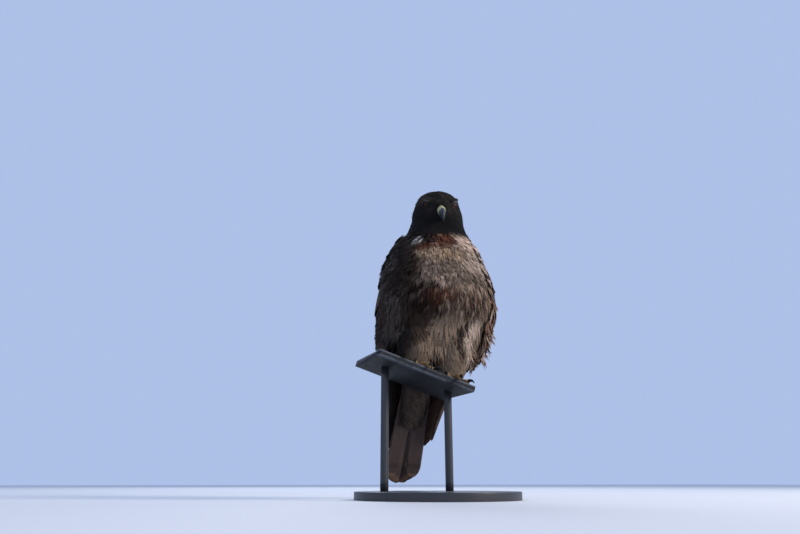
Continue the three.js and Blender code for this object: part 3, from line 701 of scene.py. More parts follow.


# Body markings by height and bearing: a dark hood, a rufous bib, a golden breast, a blotched belly band, a
# plain belly with a dark flank, painted shadow low on the right and between the legs, and a dark back. Their
# edges wander with soft and fine noise.
def bodyMarks(points):
    z, bearing = points[:, 2], bearingOf(points)
    away = np.abs(bearing)
    soft, fine = (blotches(points, size, seed) for size, seed in ((24, 11), (8, 12)))
    turn, high = bearing + 4 * soft + 2 * fine, z + 2 * soft + 2.5 * fine
    tint, belly, band = frontMarks(turn, high, soft, fine)
    tint = mottledBreast(tint, points, bearing)
    back = np.maximum(smooth(64, 84, -turn), smooth(80, 98, turn)) * smooth(20, 40, away)
    low = 1 - smooth(170, 200, z)
    tint = paintOver(tint, "back", back * (1 - 0.85 * low * (turn < 0) * (away < 105)))
    hood = hoodAt(z, bearing, fine)
    tint = paintOver(tint, "hood", hood)
    tint = paintOver(tint, "throat", hood * spot(turn, high, (5, 275), (50, 18)))
    crown = hood * smooth(300, 325, z)
    # the crown's paler streaks, and a painted highlight on its right side
    crownStreaksAndHighlight = 0.55 * crown * smooth(0.0, 0.8, fine) + 0.3 * crown * smooth(20, 60, -turn)
    tint = faceMarks(paintOver(tint, "crownStreak", crownStreaksAndHighlight), points)
    front = (1 - back) * (1 - hood)
    drops = spot(turn, z, (28, 140), (24, 26)) + 0.6 * band + 0.35 * spot(turn, z, (20, 185), (50, 25))
    streaks = 0.45 * spot(turn, z, (-22, 214), (50, 16)) + 0.5 * spot(turn, z, (30, 225), (45, 30))
    return {
        "tint": tint,
        "streak": np.clip(front * (streaks + 0.25 * band) + 0.3 * crown, 0, 1),
        "drop": np.clip(front * drops * (fine > -0.35), 0, 1),
        "edge": np.clip(0.35 * back * (1 - hood) + 0.12 * hood * smooth(70, 120, away), 0, 1),
        "bar": np.zeros(len(points)),
        "plain": np.clip(belly + spot(turn, z, (-70, 110), (40, 50)), 0, 1),
    }


# Feather paint: the tint of its place, with painted shade towards the root where the feathers overlap, a dark
# streak down the shaft, a dark drop near the tip, pale edges and dark bars where its values ask for them,
# fine barbs and soft mottling
def featherPaint(name, barbs, roughness=0.8, bumpDistance=0.0004, bars=5.0, gloss=0.14):
    paint = Paint(name, Sheen_Weight=0.03, Sheen_Roughness=0.6, Specular_IOR_Level=gloss)
    across, down = paint.vane()
    tint, tone = paint.colour("tint"), paint.value("tone")
    mottle = paint.noise(260.0) * 0.5 + paint.noise(60.0, detail=2.0) * 0.5
    colour = paint.shade(tint, 0.60 + 0.40 * mottle + 0.40 * tone)
    shaft = (1 - paint.rise(across, 0.08, 0.5)) * paint.rise(down, 0.25, 0.6)
    colour = paint.blend(shaft * paint.value("streak"), colour, tuple(shades["streak"]))
    middle = 1 - paint.rise(across, 0.35, 0.8)
    drop = middle * paint.rise(down, 0.4, 0.62) * (1 - paint.rise(down, 0.86, 0.98))
    colour = paint.blend(drop * paint.value("drop"), colour, tuple(shades["streak"]))
    wave = paint.maths("SINE", (down + 0.05 * paint.noise(90.0)) * (bars * tau), 0)
    colour = paint.blend(paint.rise(wave, 0.1, 0.7) * paint.value("bar"), colour, tuple(shades["wingBar"]))
    rim = paint.maths("MAXIMUM", paint.rise(across, 0.72, 1.0), paint.rise(down, 0.86, 1.0))
    worn = 0.35 + 0.9 * paint.noise(140.0)
    colour = paint.blend(rim * worn * paint.value("edge"), colour, tuple(shades["paleEdge"]))
    barb = paint.maths("SINE", (down + 0.4 * across) * (barbs * tau), 0)
    quill = 1 - paint.rise(across, 0.0, 0.07)
    # painted shade: darker towards the root, where the feathers above cover it
    deep = 0.72 + 0.33 * paint.rise(down, 0.1, 0.75)
    colour = paint.shade(colour, (1.0 + 0.07 * barb - 0.18 * quill) * deep)
    height = 0.35 * barb + 0.8 * quill + 0.5 * paint.noise(900.0)
    rough = roughness + 0.16 * (paint.noise(150.0) - 0.5)
    return paint.finish(Base_Color=colour, Roughness=rough, Normal=paint.bump(height, 0.55, bumpDistance))


def skinPaint(name):
    paint = Paint(name, Specular_IOR_Level=0.12)
    mottle = paint.noise(240.0) * 0.5 + paint.noise(55.0, detail=2.0) * 0.5
    colour = paint.shade(paint.colour("tint"), 0.65 + 0.5 * mottle)
    rough = 0.82 + 0.1 * (paint.noise(150.0) - 0.5)
    grain = paint.bump(paint.noise(700.0), 0.5, 0.0006)
    return paint.finish(Base_Color=colour, Roughness=rough, Normal=grain)


# Legs. Thighs run down to bare shanks; heights at their ends are measured from the perch's top under that
# foot.
toeLine = 24
feetApart = 58
feetAside = -18  # along X, from the body's middle to the middle between the feet
perch = {
    "left": 34, "right": 123, "width": 110, "ahead": 48,  # its reach from the level line's middle
    "thick": 9.5, "corner": 1.4, "slope": 17, "yaw": 2,
    # the worn edges also carry a painted highlight
    "cut": 0.35, "worn": 2.2,  # how much thinner its ends are, and how far in from its edges it is worn
}
hip = {"middle": -9, "apart": 35, "height": 118}
# Share of the way up, how far back, half width and half depth
thigh = [[1, 6, 20, 22], [0.74, -1, 29, 29], [0.47, -5, 29.5, 29]]
thighEnd = {"over": 17.5, "back": -4, "wide": 24, "deep": 23}
perchTurn = turning("z", perch["yaw"]) @ turning("y", perch["slope"])
sides = (("left", 1), ("right", -1))


# From the perch's frame, whose origin is in its top at the middle, to the hawk's
def onPerch(points):
    return np.asarray(points, float) @ perchTurn.T + np.array([0, 0, toeLine])


# From a foot's own frame, whose origin is the perch's top under it, to the hawk's
def onFoot(points, sign):
    yaw = math.radians(perch["yaw"])
    aside = (sign * feetApart / 2 + feetAside) / math.cos(yaw)
    shift = np.array([aside, -aside * math.sin(yaw), 0])
    return onPerch(np.asarray(points, float) @ turning("z", -perch["yaw"]).T + shift)


# The thigh's stations, from inside the hip down to the foot
def thighStations(sign):
    sole = onFoot([0, 0, 0], sign)
    top = hip["middle"] + sign * hip["apart"]
    rows = []
    for up, back, wide, deep in thigh:
        rows.append([mix(sole[0], top, up), back, mix(sole[2], hip["height"], up), wide, deep])
    rows.append([sole[0], thighEnd["back"], sole[2] + thighEnd["over"], thighEnd["wide"], thighEnd["deep"]])
    return np.array(rows, float)


# The thigh's surface: a tube along its stations
def thighPoint(sign):
    stations = thighStations(sign)
    return lambda u, v: tubePoint(stations, u, v)


# The body's surface: the form of its sections
def bodyPoint(u, v):
    return formPoint(bodySections, u, v)


# How deep the coat lies over the skin, thinnest on the face
def coatDepth(points):
    fromBill = np.linalg.norm(toHead(points) - billRoot, axis=-1)
    return mix(0.5, 2.2, smooth(14, 60, fromBill)) + 2.3 * (1 - smooth(230, 290, points[..., 2]))


skinForm = {"voxel": 0.0016, "softened": 4, "pole": 0.06, "browInset": 0.7, "browEnds": (0.2, 2.9)}


# A grid of a closed form, moved inwards along its normals by the coat's depth
def sunkForm(points):
    down = np.gradient(points, axis=0)
    ahead = (np.roll(points, -1, 1) - np.roll(points, 1, 1)) / 2
    normal = unit(np.cross(down, ahead))
    return closedTube(points - normal * coatDepth(points)[..., None])


# The skin: brows, body and two thighs, sunk by the coat's depth and closed into one surface
def skinMesh():
    pole = skinForm["pole"]
    parts = []
    for _, sign in sides:
        ridge = browPoint(sign, skinForm["browInset"])
        parts.append(closedTube(surfaceGrid(ridge, skinForm["browEnds"], 30, 30)))
    ends = (pole, len(bodySections) - 1 - pole)
    parts.append(sunkForm(surfaceGrid(bodyPoint, ends, 260, 200)))
    for _, sign in sides:
        parts.append(sunkForm(surfaceGrid(thighPoint(sign), (0.3, 3), 60, 60)))
    mesh = bpy.data.meshes.new("skinParts")
    fillMesh(mesh, *gathered(parts))
    rough = bpy.data.objects.new("skinParts", mesh)
    bpy.context.scene.collection.objects.link(rough)
    remesh = rough.modifiers.new("closed", "REMESH")
    remesh.mode = "VOXEL"
    remesh.voxel_size = skinForm["voxel"]
    smoothing = rough.modifiers.new("soft", "SMOOTH")
    smoothing.iterations = skinForm["softened"]
    skin = bpy.data.meshes.new_from_object(rough.evaluated_get(bpy.context.evaluated_depsgraph_get()))
    bpy.data.objects.remove(rough)
    return skin


def addSkin():
    skin = skinMesh()
    skin.name = "hawkSkin"
    skin.shade_smooth()
    places = np.zeros(len(skin.vertices) * 3, np.float32)
    skin.vertices.foreach_get("co", places)
    addValues(skin, {"tint": bodyMarks(places.reshape(-1, 3) * 1000.0 - hawkOrigin)["tint"]})
    replaced = ("head", "neck", "torso", "thigh_left", "thigh_right")
    addPiece("hawkSkin", skin, skinPaint("skinUnderFeathers"), replaced)
    print("skin:", len(skin.polygons), "faces")


# The way the feathers lie: on the head away from the bill, and down the body, spreading a little from the
# breastbone
def bodyLie(points):
    fromBill = points - fromHead(billRoot)
    distance = np.linalg.norm(fromBill, axis=-1)
    share = smooth(30, 78, distance)[:, None]
    down = np.stack([0.0035 * points[:, 0], np.full(len(points), 0.25), np.full(len(points), -1.0)], -1)
    return mix(unit(fromBill), unit(down), share)


# Every place on the body's unwrap: its bearing across, and its height up
def bodyUnwrap(points):
    turn = np.arctan2(points[:, 0], -(points[:, 1] - markMiddle)) / tau + 0.5
    return np.stack([turn, np.clip((points[:, 2] - 20) / 330, 0, 1)], -1)


bare = {"eye": 6.4, "eyeShape": np.array([1, 1, 0.86]), "bill": (6.2, 8.3), "billUp": 0.5, "behind": -20}


# Places of the head where no feather stands: a flattened ball over each eye, and an ellipse round the bill's
# root
def bareFace(points):
    local = toHalfHead(points)
    opening = eye["at"] + eyeAxis * eye["radius"] * 0.9
    nearEye = np.linalg.norm((local - opening) / bare["eyeShape"], axis=-1) < bare["eye"]
    wide, high = bare["bill"]
    nearBill = (local[:, 0] / wide) ** 2 + ((local[:, 2] - bare["billUp"]) / high) ** 2 < 1
    return nearEye | (nearBill & (local[:, 1] < bare["behind"]))


headCoat = {"rowStep": 1.55, "step": 1.95, "ends": (0.1, float(stationOf(bodySections, 258)))}
browCoat = {"rowStep": 1.3, "step": 1.5, "ends": (0.45, 2.45), "shorter": (0.62, 0.4), "lift": 0.3}
crownTop = {"from": 338.5, "room": 2.3}


# Head feathers grow from tiny ones at the bill to long ones on the neck.
def headSize(at, random):
    grown = smooth(12, 85, np.linalg.norm(toHead(at) - billRoot, axis=-1))
    return {
        "length": mix(3.4, 13, grown) * random.uniform(0.75, 1.25, len(at)),
        "half": mix(0.75, 1.9, grown), "lift": mix(0.15, 0.8, grown), "sink": mix(0.6, 2.4, grown),
        "widths": [0.5, 1, 0.75, 0.35], "round": 0.2, "ragged": 1.3, "sway": 0.14, "roll": 0.14, "stray": 1.6,
        "camber": 0.2,
    }


# Feathers on the crown lie flat: a height h over the one given becomes room (1 - e to minus h / room)
def pressed(points):
    over = np.maximum(points[..., 2] - crownTop["from"], 0)
    points[..., 2] -= over - crownTop["room"] * (1 - np.exp(-over / crownTop["room"]))
    return points


# The brow's feathers stand only above the lid's line, which drops towards the bill.
def overLid(points):
    local = toHalfHead(points)
    return local[:, 2] > browMiddle[2] - 1.4 + 0.12 * dot(local - browMiddle, browBack)


def addHeadCoat():
    random = np.random.default_rng(3)
    form = vaneForm(4, 4, 0.7)
    paint = featherPaint("headFeathers", 3.0, roughness=0.8, gloss=0.07)
    parts = {"headFeathers": (bodyPoint, headCoat)}
    for name, sign in sides:
        parts[f"browFeathers_{name}"] = (browPoint(sign), browCoat)
    for name, (surface, coat) in parts.items():
        u, v = rowsOn(surface, coat["ends"], (0, tau), coat["rowStep"], coat["step"], random)
        at = surface(u, v)
        kept = ~bareFace(at)
        if coat is browCoat:
            kept &= overLid(at)
        u, v, at = u[kept], v[kept], at[kept]
        marks = bodyMarks(at)
        marks["tone"] = random.uniform(0, 1, len(u))
        size = headSize(at, random)
        if coat is browCoat:
            size["length"] = mix(*coat["shorter"], smooth(1.8, 2.3, u)) * size["length"]
            size["lift"] = coat["lift"] * size["lift"]
            size["stray"] = 0
        grown = pressed(growFeathers(framesOn(surface, u, v), bodyLie(at), size, form, random))
        coatPiece(name, grown, form, bodyUnwrap(at), marks, paint)


# Pieces of the body's coat: their heights, turns, row step, step, the length and half width of their
# feathers, and how far the tips lift below and above
bodyCoats = {
    "breastFeathers": dict(
        heights=(276, 176), turns=(-0.5, 0.5), steps=(4.0, 5.4), size=(20, 4.2), lift=(0.7, 0.6)),
    "bellyFeathers": dict(
        heights=(182, 52), turns=(-0.5, 0.5), steps=(4.2, 3.9), size=(29, 3.2), lift=(0.35, 0.6)),
    "backFeathers": dict(
        heights=(276, 54), turns=(0.5, 1.5), steps=(5.0, 7.2), size=(26, 5.6), lift=(1.7, 0.8)),
}
shows = 0.62  # the share of a feather's length below its root at which its marks are taken
thinSide = {"bearing": (40, 66), "height": (84, 116), "shorter": 0.5}  # low on the left, beside the wing


# Body feathers: shorter and closer on the neck, softer on the belly, shorter low down beside the left wing
def bodySize(coat, at, plain, random):
    low, high = 1 - smooth(90, 230, at[:, 2]), smooth(225, 275, at[:, 2])
    aside = smooth(*thinSide["bearing"], bearingOf(at)) * (1 - smooth(*thinSide["height"], at[:, 2]))
    length, half = coat["size"]
    length = length * (1 + 0.1 * low - 0.4 * high) * random.uniform(0.8, 1.2, len(at))
    return {
        "length": length * (1 - thinSide["shorter"] * aside),
        "half": half * (1 - 0.42 * high) * (1 - 0.2 * plain) * random.uniform(0.8, 1.15, len(at)),
        "widths": [0.45, 0.95, 0.85, 0.45], "round": 0.25, "ragged": 1.3, "sway": 0.15, "roll": 0.1,
        "lift": mix(coat["lift"][1], coat["lift"][0], low) * (1 - 0.45 * plain),
        "sink": mix(4.5, 2.5, high), "camber": 0.16,
    }


def addBodyCoat():
    random = np.random.default_rng(5)
    paint = featherPaint("bodyFeathers", 7.0, roughness=0.88, gloss=0.06)
    form = vaneForm(6, 7, 0.66)
    for name, coat in bodyCoats.items():
        ends = stationOf(bodySections, np.array(coat["heights"]))
        turns = [turn * np.pi for turn in coat["turns"]]
        u, v = rowsOn(bodyPoint, ends, turns, *coat["steps"], random)
        frames = framesOn(bodyPoint, u, v)
        at = frames["at"]
        drop = shows * coat["size"][0] * (1 - 0.5 * smooth(225, 275, at[:, 2]))
        marks = bodyMarks(at - drop[:, None] * np.array([0, 0, 1]))
        marks["tone"] = mix(random.uniform(0, 1, len(u)), 0.5, 0.8 * marks["plain"])
        size = bodySize(coat, at, marks["plain"], random)
        grown = growFeathers(frames, bodyLie(at), size, form, random)
        coatPiece(name, grown, form, bodyUnwrap(at), marks, paint)


legCoat = {"rowStep": 3.2, "step": 3.5, "length": 23, "half": 2.5, "ends": (0.8, 2.97), "warm": 0.16}


# Trousers: long soft feathers that drape to the perch over the roots of the toes
def addThighCoat():
    form = vaneForm(6, 6, 0.62)
    paint = featherPaint("legFeathers", 5.0, roughness=0.88, bars=3.0, gloss=0.08)
    for name, sign in sides:
        random = np.random.default_rng(8 + sign)
        surface = thighPoint(sign)
        u, v = rowsOn(surface, legCoat["ends"], (0, tau), legCoat["rowStep"], legCoat["step"], random)
        frames = framesOn(surface, u, v)
        at = frames["at"]
        size = {
            "length": legCoat["length"] * mix(1.1, 0.85, u / 3) * random.uniform(0.8, 1.2, len(u)),
            "half": legCoat["half"] * random.uniform(0.8, 1.15, len(u)), "lift": 0.25, "sink": 3.2,
            "widths": [0.5, 1, 0.75, 0.35], "round": 0.2, "ragged": 1.6, "sway": 0.12, "roll": 0.12,
            "camber": 0.14, "stray": 0.3,
        }
        marks = bodyMarks(at - np.array([0, 0, 0.5 * legCoat["length"]]))
        marks["tone"] = mix(random.uniform(0, 1, len(u)), 0.5, 0.85)
        marks["edge"] = 0 * u
        warm = legCoat["warm"] * smooth(0.2, 0.9, blotches(at, 14, 21))
        marks["tint"] = paintOver(marks["tint"], "rufous", warm)
        lie = np.tile([0.0, -0.06, -1.0], (len(u), 1))
        roots = np.stack([(v / tau) * 0.48 + (0 if sign > 0 else 0.5), u / 3], -1)
        grown = growFeathers(frames, lie, size, form, random)
        coatPiece(f"thighFeathers_{name}", grown, form, roots, marks, paint)


# Large feathers, each a closed thin shell

# Faces of two like grids, one over the other, joined round their rims
def shellFaces(rows, columns):
    top = gridFaces(rows, columns)
    under = top[:, ::-1] + rows * columns
    rim = np.concatenate([
        np.arange(columns - 1),
        np.arange(rows - 1) * columns + columns - 1,
        (rows - 1) * columns + np.arange(columns - 1, 0, -1),
        np.arange(rows - 1, 0, -1) * columns,
    ])
    after = np.roll(rim, -1)
    band = np.stack([rim, after, after + rows * columns, rim + rows * columns], -1)
    return np.vstack([top, under, band])


# A vane's half width down its length: full to tipFrom, then a quarter ellipse to the tip, and narrower at the
# root
def vaneWidth(t, root, tipFrom):
    end = np.clip((t - tipFrom) / (1 - tipFrom), 0, 1)
    return mix(root, 1, smooth(0, 0.4, t)) * np.sqrt(np.maximum(1 - end**2, 0.006))


bigVane = {"rows": 34, "columns": 9, "thick": 0.55, "split": 0.014, "splitDepth": 0.3, "shaft": 0.45}


# Small splits in a vane's edges: a few narrow notches at drawn places, deepest at the edge
def splits(t, s, random, count):
    places, edges = random.uniform(0.3, 0.98, count), random.choice([-1, 1], count)
    cut = np.zeros_like(t)
    for place, side, deep in zip(places, edges, random.uniform(0.3, 1, count)):
        cut += deep * np.exp(-(((t - place) / bigVane["split"]) ** 2)) * smooth(0.3, 1, side * s)
    return 1 - bigVane["splitDepth"] * np.clip(cut, 0, 1)


# One large feather. place gives its middle surface and the way out at shares t and s; both faces lie half a
# thickness off it, thinner towards the edges and the tip, with a raised shaft.
def bigFeather(place, root, tipFrom, random, notches):
    rows, columns = bigVane["rows"], bigVane["columns"]
    q, s = np.meshgrid(np.linspace(0, 1, rows), np.linspace(-1, 1, columns), indexing="ij")
    t = 1 - (1 - q) ** 1.35
    wide = vaneWidth(t, root, tipFrom) * splits(t, s, random, notches)
    at, out = place(t, s * wide)
    thick = bigVane["thick"] * (1 - 0.6 * np.abs(s)) * (1 - 0.4 * t) + 0.1
    shaft = bigVane["shaft"] * np.exp(-((s / 0.14) ** 2)) * (1 - t)
    upper = at + out * (thick / 2 + shaft)[..., None]
    under = at - out * (thick / 2 + shaft)[..., None]
    points = np.concatenate([upper.reshape(-1, 3), under.reshape(-1, 3)])
    local = np.stack([s / 2 + 0.5, t], -1).reshape(-1, 2)
    return {"points": points, "local": np.vstack([local, local])}


# Large feathers as one mesh. In the map for baked colours each upper face has a strip of the lower half, and
# each under face one of the upper half.
def bigPiece(name, feathers, marks, material, replaced=(), mirrored=False):
    count = len(feathers)
    faces = shellFaces(bigVane["rows"], bigVane["columns"])
    size = len(feathers[0]["points"])
    points = np.stack([feather["points"] for feather in feathers])
    local = np.stack([feather["local"] for feather in feathers])
    quads = (faces[None] + (np.arange(count) * size)[:, None, None]).reshape(-1, 4)
    if mirrored:
        points = points * np.array([-1, 1, 1])
        quads = quads[:, ::-1]
    mesh = bpy.data.meshes.new(name)
    fillMesh(mesh, points.reshape(-1, 3), quads)
    addMap(mesh, "vane", local.reshape(-1, 2))
    strip = np.arange(count)[:, None]
    under = (np.arange(size) >= size // 2)[None]
    across = (strip + 0.08 + 0.84 * local[..., 0]) / count
    down = 0.01 + 0.47 * local[..., 1] + 0.5 * under
    addMap(mesh, "OFBake", np.stack([across, down], -1).reshape(-1, 2))
    values = {key: np.repeat(np.asarray(value), size, axis=0) for key, value in marks.items()}
    values["under"] = np.tile(under[0].astype(float), count)
    addValues(mesh, values)
    print(f"{name}: {count} feathers, {len(quads) * 2} triangles")
    addPiece(name, mesh, material, replaced)


# Wings

# A place on the wing's outer face, the way out of it, and how many millimetres a degree round measures there
def wingPlace(degrees, height):
    small = 0.01
    last = len(wingSections) - 1
    u, turn = stationOf(wingSections, height), np.radians(degrees)
    at = formPoint(wingSections, u, turn)
    around = formPoint(wingSections, u, turn + small) - at
    down = formPoint(wingSections, np.minimum(u + small, last), turn)
    down = unit(down - formPoint(wingSections, np.maximum(u - small, 0), turn))
    return at, unit(np.cross(down, around)), np.linalg.norm(around, axis=-1) / small * math.radians(1)


# The left wing is tucked further back under the breast feathers at its top, and hangs further forward below.
tuck = {"left": (12, -14, 4), "right": (0, 0, 0), "from": 120, "to": 225}


# How many degrees back a wing is tucked at a height, and how far in, less towards its rear
def tuckAt(name, height, behind):
    above, below, hug = tuck[name]
    share = smooth(tuck["from"], tuck["to"], height)
    return mix(below, above, share) * (1 - behind), hug * share * (1 - behind) ** 2


# Tiers of the folded wing: how many feathers, half their width, where the roots and tips of the first and
# last lie, in degrees from the breast and in height, how high root and tip stand over the wing's face, the
# narrowing of root and tip, and how strong the bars and pale edges are. Inner ones take the same brown at
# the spine.
wingTiers = {
    "primaries": dict(count=9, half=11.5, roots=((100, 122), (152, 108)), tips=((98, -48), (158, -74)),
                      lift=(-5, 0.4), shape=(0.7, 0.72), bar=0.25, edge=0.15, tint=0.75),
    "secondaries": dict(count=11, half=15, roots=((58, 172), (158, 154)), tips=((50, 96), (170, 14)),
                        lift=(-4.5, 1.3), shape=(0.7, 0.84), bar=0.55, edge=0.6, tint=1.0),
    "greater": dict(count=12, half=11.5, roots=((60, 208), (158, 192)), tips=((55, 150), (166, 118)),
                    lift=(-4.2, 1.7), shape=(0.7, 0.8), bar=0.35, edge=0.75, tint=1.1),
    "median": dict(count=12, half=9.5, roots=((66, 238), (150, 230)), tips=((60, 192), (156, 170)),
                   lift=(-3.4, 1.9), shape=(0.7, 0.76), bar=0.2, edge=0.85, tint=1.15),
    "scapularsLow": dict(count=6, half=12, roots=((134, 238), (176, 230)), tips=((138, 178), (178, 160)),
                         lift=(-2.4, 3.2), shape=(0.75, 0.78), bar=0.3, edge=0.8, tint=1.1, inner=True),
    "scapularsHigh": dict(count=7, half=10.5, roots=((124, 259), (176, 254)), tips=((130, 212), (177, 200)),
                          lift=(-2.4, 3.0), shape=(0.75, 0.76), bar=0.15, edge=0.7, tint=1.0, inner=True),
}
tipDroop = 1.35  # how soon the tips drop from the first feather to the last
shingle = 1.0  # how far each feather's front edge stands over its neighbour
uneven = {"tip": 4, "aside": 1.6, "lift": 0.6}


# Wing tips and tail hang a little to the hawk's right, evenly more from the tail's root down to its tip.
def swingAt(height):
    root, tip = tail["root"], tail["tip"]
    return tip[0] * np.maximum(root[2] - height, 0) / (root[2] - tip[2])


# Feather n of a tier: root and tip lie between the tier's first and last by its share of the count
def wingFeather(tier, n, name, random):
    share = n / (tier["count"] - 1)
    roots, tips = np.array(tier["roots"], float), np.array(tier["tips"], float)
    root, tip = mix(roots[0], roots[1], share), mix(tips[0], tips[1], share)
    tip[1] = mix(tips[0][1], tips[1][1], share ** (1 / tipDroop)) + uneven["tip"] * random.uniform(-1, 1)
    tip[0] += uneven["aside"] * random.uniform(-1, 1)
    rise = uneven["lift"] * random.uniform(-1, 1)
    sign = 1 if name == "left" else -1
    for end in (root, tip):
        end[0] += tuckAt(name, end[1], share)[0]

    def place(t, s):
        turn, height = mix(root[0], tip[0], t), mix(root[1], tip[1], t)
        perDegree = wingPlace(turn, height)[2]
        at, out, _ = wingPlace(turn + s * tier["half"] / perDegree, height)
        lift = mix(tier["lift"][0], tier["lift"][1] + rise, t**0.8) - tuckAt(name, height, share)[1]
        at = at + out * (lift - shingle * s - 0.8 * s**2)[..., None]
        at[..., 0] += sign * swingAt(height)
        return at, out

    return bigFeather(place, *tier["shape"], random, notches=8)


# How warm each wing's brown is, how dark its shoulder and how strong its pale edges; "inner" is at the spine.
# The right wing's cooler, darker look with weaker pale edges is painted shade on the hawk's unlit side.
wingLooks = {
    "left": {"warm": 0.75, "shoulder": 0.72, "edge": 1.0},
    "right": {"warm": 0.12, "shoulder": 0.5, "edge": 0.4},
    "inner": {"warm": 0.42, "edge": 0.7},
}


# The left wing shows a warmer, more mottled brown than the right, whose duller, darker look is painted shade.
# Given heights, the shoulder is darker.
def wingMarks(tier, name, random, height=None):
    count, looks, middle = tier["count"], wingLooks[name], wingLooks["inner"]
    inner = np.linspace(0, 1, count)[:, None] ** 1.5 if tier.get("inner") else 0
    warm = mix(looks["warm"], middle["warm"], inner)
    tint = mix(shades["wing"], shades["wingWarm"], warm * random.uniform(0.6, 1.3, (count, 1)))
    # darker shoulder, more so on the right wing, where it is painted shade
    dark = 1.0 if height is None else mix(1.0, looks["shoulder"], smooth(150, 230, height))
    tint = tint * (tier["tint"] * random.uniform(0.75, 1.3, count) * dark)[:, None]
    edge = tier["edge"] * mix(looks["edge"], middle["edge"], np.ravel(inner))
    return {
        "tint": tint,
        "streak": np.full(count, 0.25),
        "drop": np.zeros(count),
        "edge": np.clip(edge * random.uniform(0.4, 1.3, count), 0, 1),
        "bar": np.full(count, tier["bar"]),
        "tone": random.uniform(0, 1, count),
    }


# The wing's flesh under its coverts: a shell over the body's side; rows of height, front and rear degrees
wingCore = np.array([
    [263, 104, 142], [244, 74, 167], [220, 59, 174], [195, 55, 175],
    [170, 55, 175], [145, 62, 173], [118, 78, 164], [92, 100, 146],
], float)


# Its outer face lies a little under the feathers and its inner face deep inside; both draw together at the
# rim.
def addWingCore(name, sign):
    rows, columns = 60, 40
    down, over = np.meshgrid(np.linspace(0, 1, rows), np.linspace(0, 1, columns), indexing="ij")
    core = stationAt(wingCore, down * (len(wingCore) - 1))
    height, front, rear = np.moveaxis(core, -1, 0)
    back, inwards = tuckAt(name, height, over)
    at, out, _ = wingPlace(mix(front + back, rear, over), height)
    rims = [0.25 + 2.2 * over, 0.25 + 2.2 * (1 - over), 0.3 + 5 * down, 0.3 + 2 * (1 - down)]
    edge = np.minimum.reduce([np.ones_like(down), *rims])
    upper = at + out * (-2.6 - 2.5 * (1 - edge) - inwards)[..., None]
    under = at + out * (-3.2 - 11 * edge - inwards)[..., None]
    points = np.vstack([upper.reshape(-1, 3), under.reshape(-1, 3)])
    made = onSide(sign, points, shellFaces(rows, columns))
    values = {"tint": np.tile(shades["wing"], (len(points), 1))}
    paint = skinPaint(f"wingSkin_{name}")
    solidPiece(f"wingSkin_{name}", made, paint, (f"wing_{name}",), values)


lesser = {"rowStep": 4.0, "step": 5.4, "length": 15, "half": 3.9, "heights": (266, 92), "turns": (48, 172)}
lesserDepth = (24, 150)  # how many degrees behind the wing's edge small coverts reach, low down and above


# Small coverts over the wing's shoulder and down its leading edge, in rows on its outer face
def addLesserCoverts(name, sign):
    random = np.random.default_rng(31 + sign)
    ends = stationOf(wingSections, np.array(lesser["heights"]))

    def shoulder(u, v):
        height = sectionAt(wingSections, u)[..., 0]
        share = np.clip((np.degrees(v) - 55) / 120, 0, 1)
        back, inwards = tuckAt(name, height, share)
        at, out, _ = wingPlace(np.degrees(v) + back, height)
        return at + out * (mix(1.6, 0.2, smooth(190, 215, height)) - inwards)[..., None]

    u, v = rowsOn(shoulder, ends, np.radians(lesser["turns"]), lesser["rowStep"], lesser["step"], random)
    height, degrees = sectionAt(wingSections, u)[:, 0], np.degrees(v)
    front = np.interp(-height, -wingCore[:, 0], wingCore[:, 1])
    rear = np.interp(-height, -wingCore[:, 0], wingCore[:, 2])
    depth = mix(*lesserDepth, smooth(186, 204, height)) * random.uniform(0.7, 1.2, len(u))
    kept = (degrees > front - 2) & (degrees < np.minimum(rear + 2, front + depth))
    u, v, height, degrees = u[kept], v[kept], height[kept], degrees[kept]
    frames = framesOn(shoulder, u, v)
    size = {
        "length": lesser["length"] * random.uniform(0.8, 1.25, len(u)),
        "half": lesser["half"] * random.uniform(0.85, 1.15, len(u)), "lift": 1.2, "sink": 2.6,
        "widths": [0.5, 1, 0.9, 0.5], "round": 0.3, "ragged": 0.8, "sway": 0.13, "roll": 0.1, "camber": 0.16,
    }
    form = vaneForm(6, 7, 0.78)
    marks = wingMarks(dict(count=len(u), tint=1.0, edge=0.8, bar=0.0), name, random, height)
    lie = np.tile([0.0, 0.35, -1.0], (len(u), 1))
    roots = np.stack([degrees / 180, np.clip((height - 90) / 180, 0, 1)], -1)
    grown = growFeathers(frames, lie, size, form, random)
    paint = featherPaint(f"lesserCoverts_{name}", 7.0, roughness=0.78, gloss=0.08)
    coatPiece(f"lesserCoverts_{name}", grown, form, roots, marks, paint, mirrored=sign < 0)


# The body and the folded wing taken together: as deep in front as the body, as wide as the wing
hullSections = wingSections.copy()
hullSections[:, 3] = wingSections[:, 1] + 2.5 - np.interp(
    -wingSections[:, 0], -bodySections[:, 0], bodySections[:, 1] - bodySections[:, 3])
# The left side of the chest, fluffed out over the bend of the wing
sideSections = bodySections.copy()
sideSections[:, [2, 3]] += [6, 2]
# The upper back over the shoulder feathers
mantleSections = wingSections.copy()
mantleSections[:, [2, 4]] += np.interp(-wingSections[:, 0], [-266, -235, -200], [1.0, 3.4, 4.2])[:, None]

